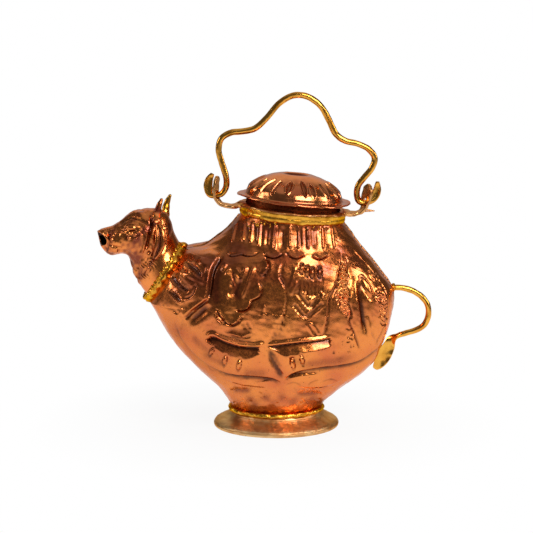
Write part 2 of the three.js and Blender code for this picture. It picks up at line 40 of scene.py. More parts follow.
# shapes are worked out in millimetres from the axis of the foot, and moved into the frame at the end
footAxisX = 7.4
millimetre = 0.001
fullTurn = 2 * np.pi
towardsFront, upwards = np.array([0.0, -1.0, 0.0]), np.array([0.0, 0.0, 1.0])

# the photograph's camera: distance, height of the view over the table, and the point looked at
view = {"distance": 1365.0, "elevation": math.radians(9.3), "aimX": -6.4, "aimZ": 104.6, "lens": 141.8,
        "sensor": 36.0, "clipEnd": 50.0}


def catmullRom(points, t):
    # evenly spaced cubic through the points; t runs from 0 at the first to 1 at the last
    points = np.asarray(points, float)
    if points.ndim == 1:
        points = points[:, None]
    count = len(points)
    place = np.clip(np.asarray(t, float), 0, 1) * (count - 1)
    k = np.minimum(place.astype(int), count - 2)
    w = (place - k)[..., None]
    p0, p1 = points[np.maximum(k - 1, 0)], points[k]
    p2, p3 = points[k + 1], points[np.minimum(k + 2, count - 1)]
    return hermite(p1, p2, (p2 - p0) / 2, (p3 - p1) / 2, w)


def hermite(p1, p2, m1, m2, w):
    # cubic from p1 to p2 that leaves with slope m1 and arrives with slope m2
    return (2 * p1 - 2 * p2 + m1 + m2) * w**3 + (3 * p2 - 3 * p1 - 2 * m1 - m2) * w**2 + m1 * w + p1


def curve(points, count):
    return catmullRom(points, np.linspace(0, 1, count))


def turns(count):
    # even angles once round
    return np.linspace(0, fullTurn, count, endpoint=False)


def centripetal(points, samples):
    # rounder cubic through uneven points, read back at even steps of its length
    points = np.asarray(points, float)
    ends = np.vstack([2 * points[0] - points[1], points, 2 * points[-1] - points[-2]])
    w = np.linspace(0, 1, 24, endpoint=False)[:, None]
    fine = []
    for k in range(1, len(ends) - 2):
        p0, p1, p2, p3 = ends[k - 1:k + 3]
        d0, d1, d2 = (np.linalg.norm(b - a) ** 0.5 for a, b in ((p0, p1), (p1, p2), (p2, p3)))
        m1 = ((p1 - p0) / d0 - (p2 - p0) / (d0 + d1) + (p2 - p1) / d1) * d1
        m2 = ((p2 - p1) / d1 - (p3 - p1) / (d1 + d2) + (p3 - p2) / d2) * d1
        fine.append(hermite(p1, p2, m1, m2, w))
    fine = np.vstack(fine + [points[-1:]])
    along = np.concatenate([[0], np.cumsum(np.linalg.norm(np.diff(fine, axis=0), axis=1))])
    even = np.linspace(0, along[-1], samples)
    return np.stack([np.interp(even, along, fine[:, c]) for c in range(3)], axis=1), along[-1]


def smooth(x, low=0.0, high=1.0):
    t = np.clip((x - low) / (high - low), 0, 1)
    return t * t * (3 - 2 * t)


def bell(x, middle, width):
    return np.exp(-((x - middle) / width) ** 2)


def ripple(points, size, count, seed):
    # soft unevenness from -1 to 1: a sum of sine waves of about that wavelength in random directions
    rng = np.random.default_rng(seed)
    total = np.zeros(points.shape[:-1])
    for _ in range(count):
        way = rng.normal(size=3)
        way *= fullTurn / (size * rng.uniform(0.7, 1.5) * np.linalg.norm(way))
        total += np.sin(points @ way + rng.uniform(0, fullTurn))
    return total / math.sqrt(count)


def unit(vectors):
    return vectors / np.linalg.norm(vectors, axis=-1, keepdims=True)


def gridNormals(points, way, row=None, closedColumns=False):
    # normals of a grid, turned so that the one in its middle, or at the start of a given row, points that way
    down = np.gradient(points, axis=0)
    if closedColumns:
        across = (np.roll(points, -1, axis=1) - np.roll(points, 1, axis=1)) / 2
    else:
        across = np.gradient(points, axis=1)
    n = np.cross(across, down)
    n /= np.maximum(np.linalg.norm(n, axis=2, keepdims=True), 1e-9)
    probe = n[len(points) // 2, points.shape[1] // 2] if row is None else n[row, 0]
    return -n if probe @ way < 0 else n


def gridQuads(rows, columns, closedRows=False, closedColumns=False, start=0):
    i = np.arange(rows if closedRows else rows - 1)[:, None]
    j = np.arange(columns if closedColumns else columns - 1)[None, :]
    i2, j2 = (i + 1) % rows, (j + 1) % columns
    quads = np.stack([i * columns + j, i2 * columns + j, i2 * columns + j2, i * columns + j2], axis=-1)
    return quads.reshape(-1, 4) + start


def volume(points, faces):
    total = 0.0
    for group in faces:
        for k in range(1, group.shape[1] - 1):
            a, b, c = points[group[:, 0]], points[group[:, k]], points[group[:, k + 1]]
            total += np.einsum("ij,ij->i", a, np.cross(b, c)).sum() / 6
    return total


def addPiece(name, points, faces, slot, replaced=(), patina=0.0, hollow=0.0, sharp=50, body="pot"):
    # points in millimetres from the axis of the foot; faces turn outwards whichever way they were listed.
    # two attributes, from 0 to 1 for each point, tell the metal where it is tarnished, with painted shade and
    # painted dark reflection mixed in, and where shade is painted into its sunk places and along struck edges
    points = np.asarray(points, float).reshape(-1, 3)
    faces = [np.asarray(group, int) for group in faces]
    if volume(points, faces) < 0:
        faces = [group[:, ::-1] for group in faces]
    mesh = bpy.data.meshes.new(name)
    mesh.vertices.add(len(points))
    mesh.vertices.foreach_set("co", ((points + [footAxisX, 0, 0]) * millimetre).ravel())
    sizes = np.concatenate([np.full(len(group), group.shape[1]) for group in faces])
    mesh.loops.add(int(sizes.sum()))
    mesh.loops.foreach_set("vertex_index", np.concatenate([group.ravel() for group in faces]))
    mesh.polygons.add(len(sizes))
    mesh.polygons.foreach_set("loop_start", np.concatenate([[0], np.cumsum(sizes)[:-1]]))
    mesh.polygons.foreach_set("use_smooth", np.ones(len(sizes), bool))
    mesh.update(calc_edges=True)
    mesh.validate()
    mesh.set_sharp_from_angle(angle=math.radians(sharp))
    for key, values in (("patina", patina), ("hollow", hollow)):
        values = np.broadcast_to(np.ravel(values), len(points)).astype(np.float32)
        mesh.attributes.new(key, "FLOAT", "POINT").data.foreach_set("value", values)
    piece = bpy.data.objects.new(name, mesh)
    bpy.context.scene.collection.objects.link(piece)
    piece.data.materials.append(finishes[slot])
    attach(piece, body)
    if replaced:
        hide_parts(*replaced)
    return piece


def addRing(name, grid, slot, replaced, sharp=45, **rest):
    # a grid closed both ways, such as a turned ring
    return addPiece(name, grid, [gridQuads(*grid.shape[:2], closedRows=True, closedColumns=True)],
                    slot, replaced, sharp=sharp, **rest)


def capped(rings):
    # rows of closed rings with a point in the middle of each end
    rows, columns = rings.shape[:2]
    points = np.vstack([rings.reshape(-1, 3), rings[0].mean(0), rings[-1].mean(0)])
    j = np.arange(columns)
    j2 = (j + 1) % columns
    first, last = rows * columns, rows * columns + 1
    start = np.stack([j, j2, np.full(columns, first)], axis=1)
    finish = np.stack([j2, j, np.full(columns, last)], axis=1)
    finish[:, :2] += (rows - 1) * columns
    return points, [gridQuads(rows, columns, closedColumns=True), start, finish]


def ballGrid(rows, columns, gap):
    # rings of a ball of radius 1 round the x axis, without its poles, for capped()
    a = turns(columns)[None, :]
    b = np.linspace(gap, np.pi - gap, rows)[:, None]
    return np.stack([np.cos(b) + 0 * a, np.sin(b) * np.cos(a), np.sin(b) * np.sin(a)], axis=-1)


def merged(parts, closed=True):
    # several forms as one mesh; each closed one is turned outwards on its own
    points, faces, start = [], [], 0
    for p, groups in parts:
        p = np.asarray(p).reshape(-1, 3)
        if closed and volume(p - p.mean(0), groups) < 0:
            groups = [group[:, ::-1] for group in groups]
        points.append(p)
        faces += [np.asarray(group) + start for group in groups]
        start += len(p)
    return np.vstack(points), faces


def linearColour(hexText):
    parts = [int(hexText[k:k + 2], 16) / 255 for k in (1, 3, 5)]
    return tuple(c / 12.92 if c <= 0.04045 else ((c + 0.055) / 1.055) ** 2.4 for c in parts) + (1.0,)


def wire(tree, kind, inputs, output=0, **settings):
    # a node whose inputs are linked when they are sockets and set when they are values; gives one output
    node = tree.nodes.new(kind)
    for key, value in settings.items():
        setattr(node, key, value)
    for key, value in inputs.items():
        if isinstance(value, bpy.types.NodeSocket):
            tree.links.new(value, node.inputs[key])
        else:
            node.inputs[key].default_value = value
    return node.outputs[output] if len(node.outputs) else None


def sums(tree, operation, *terms, clamp=False):
    return wire(tree, "ShaderNodeMath", dict(enumerate(terms)), operation=operation, use_clamp=clamp)


def spread(tree, value, low, high, toLow=0.0, toHigh=1.0, kind="LINEAR"):
    inputs = {"Value": value, "From Min": low, "From Max": high, "To Min": toLow, "To Max": toHigh}
    return wire(tree, "ShaderNodeMapRange", inputs, interpolation_type=kind)


def mixColours(tree, share, under, over):
    return wire(tree, "ShaderNodeMix", {0: share, 6: under, 7: over}, 2, data_type="RGBA")


def mixNumbers(tree, share, under, over):
    return wire(tree, "ShaderNodeMix", {0: share, 2: under, 3: over}, data_type="FLOAT")


def newMaterial(name):
    material = bpy.data.materials.new(name)
    material.use_nodes = True
    material.node_tree.nodes.clear()
    return material, material.node_tree


# settings of the worked metal's wear, and how far the painted shade in its sunk places darkens it
wearAndShade = {"mottle": (0.4, 0.68), "speckSoft": 0.08, "stainGain": 0.9, "stainDrop": -0.18, "hollowDark": 0.85,
        "roughFrom": (0.35, 0.7), "tarnishDull": 0.16, "hollowDull": 0.12, "grainDepth": 0.0002,
        "hammerDepth": 0.0006, "lacquerIor": 1.6, "lacquerRoughness": 0.14}


def metal(name, looks):
    # bare worked metal. Slow noise mottles its colour, one attribute paints shade into sunk places and struck
    # edges, the other carries tarnish with painted shade and painted dark reflection mixed in, fine noise breaks
    # the shine, and bumps are hammer and file marks
    material, tree = newMaterial(name)
    coords = tree.nodes.new("ShaderNodeTexCoord").outputs["Object"]
    stretched = wire(tree, "ShaderNodeMapping", {"Vector": coords, "Scale": looks.get("stretch", (1, 1, 1))})

    def noise(size, detail, roughness, place=coords):
        # sizes are in millimetres
        return wire(tree, "ShaderNodeTexNoise", {"Vector": place, "Scale": 1000 / size, "Detail": detail,
                                                 "Roughness": roughness}, "Fac")

    slow = noise(looks["mottleSize"], 4.0, 0.6)
    fine = noise(looks["grainSize"], 3.0, 0.65, stretched)
    specks = noise(looks["speckSize"], 2.0, 0.7)
    hollow = wire(tree, "ShaderNodeAttribute", {}, "Fac", attribute_name="hollow")
    patina = wire(tree, "ShaderNodeAttribute", {}, "Fac", attribute_name="patina")
    dark, tarnished = linearColour(looks["dark"]), linearColour(looks["tarnished"])
    mottle = spread(tree, slow, *wearAndShade["mottle"])
    colour = mixColours(tree, mottle, linearColour(looks["bright"]), linearColour(looks["tint"]))
    speckTo = looks["speckFrom"] + wearAndShade["speckSoft"]
    speckle = spread(tree, specks, looks["speckFrom"], speckTo, 0.0, looks["speckDark"])
    colour = mixColours(tree, speckle, colour, dark)
    stain = sums(tree, "MULTIPLY_ADD", fine, wearAndShade["stainGain"], wearAndShade["stainDrop"])
    # tarnish with painted shade and painted dark reflection mixed in, taken towards the tarnished colour
    tarnish = sums(tree, "MULTIPLY", sums(tree, "ADD", patina, stain, clamp=True), patina, clamp=True)
    colour = mixColours(tree, tarnish, colour, tarnished)
    # painted shade: sunk places and struck edges are mixed towards the dark colour
    depth = sums(tree, "MULTIPLY", hollow, wearAndShade["hollowDark"], clamp=True)
    colour = mixColours(tree, depth, colour, dark)
    rough = spread(tree, specks, *wearAndShade["roughFrom"], *looks["roughness"])
    rough = sums(tree, "MULTIPLY_ADD", tarnish, wearAndShade["tarnishDull"], rough)
    rough = sums(tree, "MULTIPLY_ADD", hollow, wearAndShade["hollowDull"], rough, clamp=True)
    grain = wire(tree, "ShaderNodeBump", {"Height": fine, "Strength": looks["grain"],
                                          "Distance": wearAndShade["grainDepth"]})
    bumps = wire(tree, "ShaderNodeBump", {"Height": noise(looks["hammerSize"], 1.0, 0.5), "Normal": grain,
                                          "Strength": looks["hammer"], "Distance": wearAndShade["hammerDepth"]})
    shader = wire(tree, "ShaderNodeBsdfPrincipled", {
        "Base Color": colour, "Roughness": rough, "Normal": bumps, "Metallic": 1.0,
        "Specular Tint": linearColour(looks["edge"]), "Coat Weight": looks.get("lacquer", 0.0),
        "Coat IOR": wearAndShade["lacquerIor"], "Coat Roughness": wearAndShade["lacquerRoughness"]})
    wire(tree, "ShaderNodeOutputMaterial", {"Surface": shader})
    return material


finishes = {
    # beaten copper sheet, chased from both sides: orange and satin where it is rubbed, shade painted dark brown
    # into the hollows
    "embossed_copper": metal("embossedCopper", {
        "bright": "#F08C40", "tint": "#DC723C", "dark": "#2E1006", "tarnished": "#82361E", "edge": "#EBC6AE",
        "mottleSize": 26, "grainSize": 0.8, "speckSize": 1.6, "speckFrom": 0.66, "speckDark": 0.55,
        "hammerSize": 5.5, "roughness": (0.14, 0.3), "grain": 0.2, "hammer": 0.3, "lacquer": 0.3}),
    # spun and burnished copper of the lid: redder, smoother, with long soft highlights
    "lid_copper": metal("lidCopper", {
        "bright": "#E48C4E", "tint": "#C4653A", "dark": "#351006", "tarnished": "#7C3418", "edge": "#E8C0A8",
        "mottleSize": 22, "grainSize": 0.9, "speckSize": 3.2, "speckFrom": 0.7, "speckDark": 0.3,
        "hammerSize": 8, "roughness": (0.15, 0.25), "grain": 0.1, "hammer": 0.1, "lacquer": 0.3}),
    # flat copper plate, brassed over by the braze that ran across it
    "plate_copper": metal("plateCopper", {
        "bright": "#EBAE70", "tint": "#DB9A52", "dark": "#3A1808", "tarnished": "#A05E2C", "edge": "#EACDB0",
        "mottleSize": 9, "grainSize": 0.9, "speckSize": 2, "speckFrom": 0.6, "speckDark": 0.5,
        "hammerSize": 5, "roughness": (0.2, 0.36), "grain": 0.25, "hammer": 0.35}),
    # inside walls: plain dark brown copper
    "dark_copper": metal("darkBrownCopper", {
        "bright": "#7A3A1E", "tint": "#512313", "dark": "#1E0C06", "tarnished": "#3A190C", "edge": "#7A4A34",
        "mottleSize": 14, "grainSize": 0.9, "speckSize": 2.4, "speckFrom": 0.56, "speckDark": 0.7,
        "hammerSize": 6, "roughness": (0.34, 0.52), "grain": 0.25, "hammer": 0.3}),
    # drawn brass rod, hammered and rubbed by hands: yellow, brown in the pits
    "rod_brass": metal("rodBrass", {
        "bright": "#F2B04A", "tint": "#E49A3A", "dark": "#5A2A0A", "tarnished": "#B4741F", "edge": "#F2D8AC",
        "mottleSize": 12, "grainSize": 0.7, "speckSize": 1.7, "speckFrom": 0.7, "speckDark": 0.5,
        "hammerSize": 4.5, "roughness": (0.1, 0.2), "grain": 0.12, "hammer": 0.2}),
    # braze that ran and was filed: the yellowest metal, lumpy, with flux left dark between the lumps
    "braze_brass": metal("brazeBrass", {
        "bright": "#EFB040", "tint": "#DE9A34", "dark": "#4A2604", "tarnished": "#A86A12", "edge": "#F2CE7C",
        "mottleSize": 5, "grainSize": 0.8, "speckSize": 1.6, "speckFrom": 0.68, "speckDark": 0.5,
        "hammerSize": 1.8, "roughness": (0.22, 0.38), "grain": 0.2, "hammer": 0.2}),
    # thin braze in the copper seam, filed almost flush
    "seam_braze": metal("seamBraze", {
        "bright": "#D98A50", "tint": "#B9803E", "dark": "#34160A", "tarnished": "#6A3418", "edge": "#D8A880",
        "mottleSize": 4, "grainSize": 0.7, "speckSize": 1.4, "speckFrom": 0.56, "speckDark": 0.7,
        "hammerSize": 1.6, "roughness": (0.24, 0.42), "grain": 0.4, "hammer": 0.7}),
    # cast bell metal, turned on a lathe: satin pale gold, with coppery stains
    "foot_brass": metal("bellMetal", {
        "bright": "#F8D096", "tint": "#D28C4A", "dark": "#42190A", "tarnished": "#8A4416", "edge": "#EDCC9E",
        "mottleSize": 17, "grainSize": 1.1, "speckSize": 2.2, "speckFrom": 0.66, "speckDark": 0.5,
        "hammerSize": 6, "roughness": (0.36, 0.5), "grain": 0.16, "hammer": 0.25,
        "stretch": (0.25, 0.25, 1)}),
}
print("materials ready")


def seenFrom(points):
    # where a point shows in the photograph: millimetres right of and above the middle, on the plane looked at
    e = view["elevation"]
    aim = np.array([view["aimX"], 0.0, view["aimZ"]])
    ahead = np.array([0.0, math.cos(e), -math.sin(e)])
    up = np.array([0.0, math.sin(e), math.cos(e)])
    away = points - (aim - view["distance"] * ahead)
    scale = view["distance"] / (away @ ahead)
    return away[..., 0] * scale, (away @ up) * scale


def strokeField(x, z, points):
    # least distance to a smooth stroke, how far along it, and which side: above 0 is left of its run
    line = np.asarray(points, float)
    if len(points) > 2:
        line = catmullRom(points, np.linspace(0, 1, 5 * (len(points) - 1) + 1))
    lengths = np.linalg.norm(np.diff(line, axis=0), axis=1)
    total = max(lengths.sum(), 1e-6)
    best = np.full(x.shape, 1e9)
    share, side = np.zeros(x.shape), np.zeros(x.shape)
    start = 0.0
    for (ax, az), (bx, bz), length in zip(line[:-1], line[1:], lengths):
        dx, dz = (bx - ax), (bz - az)
        t = np.clip(((x - ax) * dx + (z - az) * dz) / max(length**2, 1e-9), 0, 1)
        gap = np.hypot(x - ax - t * dx, z - az - t * dz)
        near = gap < best
        best = np.where(near, gap, best)
        share = np.where(near, (start + t * length) / total, share)
        side = np.where(near, np.sign(dx * (z - az) - dz * (x - ax)), side)
        start += length
    return best, share, side


def insideOutline(x, z, points):
    inside = np.zeros(x.shape, bool)
    for (ax, az), (bx, bz) in zip(points, points[1:] + points[:1]):
        crosses = (az > z) != (bz > z)
        inside ^= crosses & (x < ax + (bx - ax) * (z - az) / (bz - az if bz != az else 1e-9))
    return inside


def padRelief(tool, x, z, points):
    # a tilted inset, sunk along its upper edge: its height, and how much of it covers each place
    inside = insideOutline(x, z, points)
    edge, _, _ = strokeField(x, z, points + points[:1])
    top, _, _ = strokeField(x, z, points[:tool["topPoints"]])
    cover = smooth(np.where(inside, edge, -edge), -0.35, 0.55)
    slope = np.clip(top / tool["span"], 0, 1)
    return cover * (tool["height"] + (tool["lowRise"] - tool["height"]) * slope), cover


def markRelief(tool, x, z, points):
    # height of one stroke, and how strongly its painted shade darkens each place. A stroke is a bell curve
    # across its run, a dot is a round bump, a leaf is a pointed dish with a raised lip, a lens is a pointed
    # swelling in a moat painted dark as shade, a flat is a band with thin raised edges, and a ledge is a sharp
    # edge that fades on its high side
    width, rise = tool["width"], tool["height"]
    gap, share, side = strokeField(x, z, points)
    taper = smooth(np.minimum(share, 1 - share), -0.02, tool.get("ends", 0.16))
    hump = bell(gap, 0, width)
    if tool["shape"] == "stroke":
        return rise * hump * taper, hump * taper
    if tool["shape"] == "dot":
        return rise * hump, hump
    if tool["shape"] == "leaf":
        q = np.hypot(gap / width, (share - 0.5) * 1.9)
        dish = np.clip(1 - q**2, 0, 1) ** 0.7
        return rise * dish - 0.28 * rise * bell(q, 1.15, 0.22), np.clip(1.2 - q, 0, 1)
    if tool["shape"] == "lens":
        q = np.hypot(gap / width, (share - 0.5) * 2.1)
        moat = bell(q, 1.12, 0.24)
        return rise * np.clip(1 - q**2, 0, 1) ** 0.7 - tool["moat"] * moat, moat
    if tool["shape"] == "flat":
        band = smooth(width - gap, -0.25, 0.25) * taper
        return rise * band + tool["lip"] * bell(gap - width, 0.3, 0.35) * taper, band
    away = gap * side * tool["side"]
    lift = rise * smooth(away, -width, width) * np.exp(-np.maximum(away, 0) / tool["reach"])
    lift -= tool["foot"] * bell(away, -1.4 * width, 1.6 * width)
    return lift * taper, bell(away, -width, 1.8 * width) * taper


def carve(x, z, work):
    # adds up what every stroke does to the sheet: its height in millimetres outwards, the shade it paints along
    # itself, and the tarnish with painted shade that it lays on the metal
    height, dark, patina = np.zeros(x.shape), np.zeros(x.shape), np.zeros(x.shape)
    for tool, strokes in work.values():
        room = 4 * tool["width"] + tool.get("reach", 0) * 3
        for numbers in strokes:
            points = np.reshape(numbers, (-1, 2)).tolist()
            (west, low), (east, high) = np.min(points, axis=0) - room, np.max(points, axis=0) + room
            near = (x > west) & (x < east) & (z > low) & (z < high)
            if not near.any():
                continue
            if tool["shape"] == "pad":
                lift, cover = padRelief(tool, x[near], z[near], points)
                # the pads are painted dark: dark reflection, with some tarnish
                patina[near] = np.maximum(patina[near], cover * tool["dark"])
            else:
                lift, cover = markRelief(tool, x[near], z[near], points)
                # painted shade along the stroke
                dark[near] = np.maximum(dark[near], tool.get("dark", 0) * cover)
                # tarnish with painted shade from the stroke
                patina[near] = np.maximum(patina[near], tool.get("tarnish", 0) * cover)
            height[near] += lift
    return height, dark, patina


def mark(shape, height, width, **more):
    return {"shape": shape, "height": height, "width": width, **more}
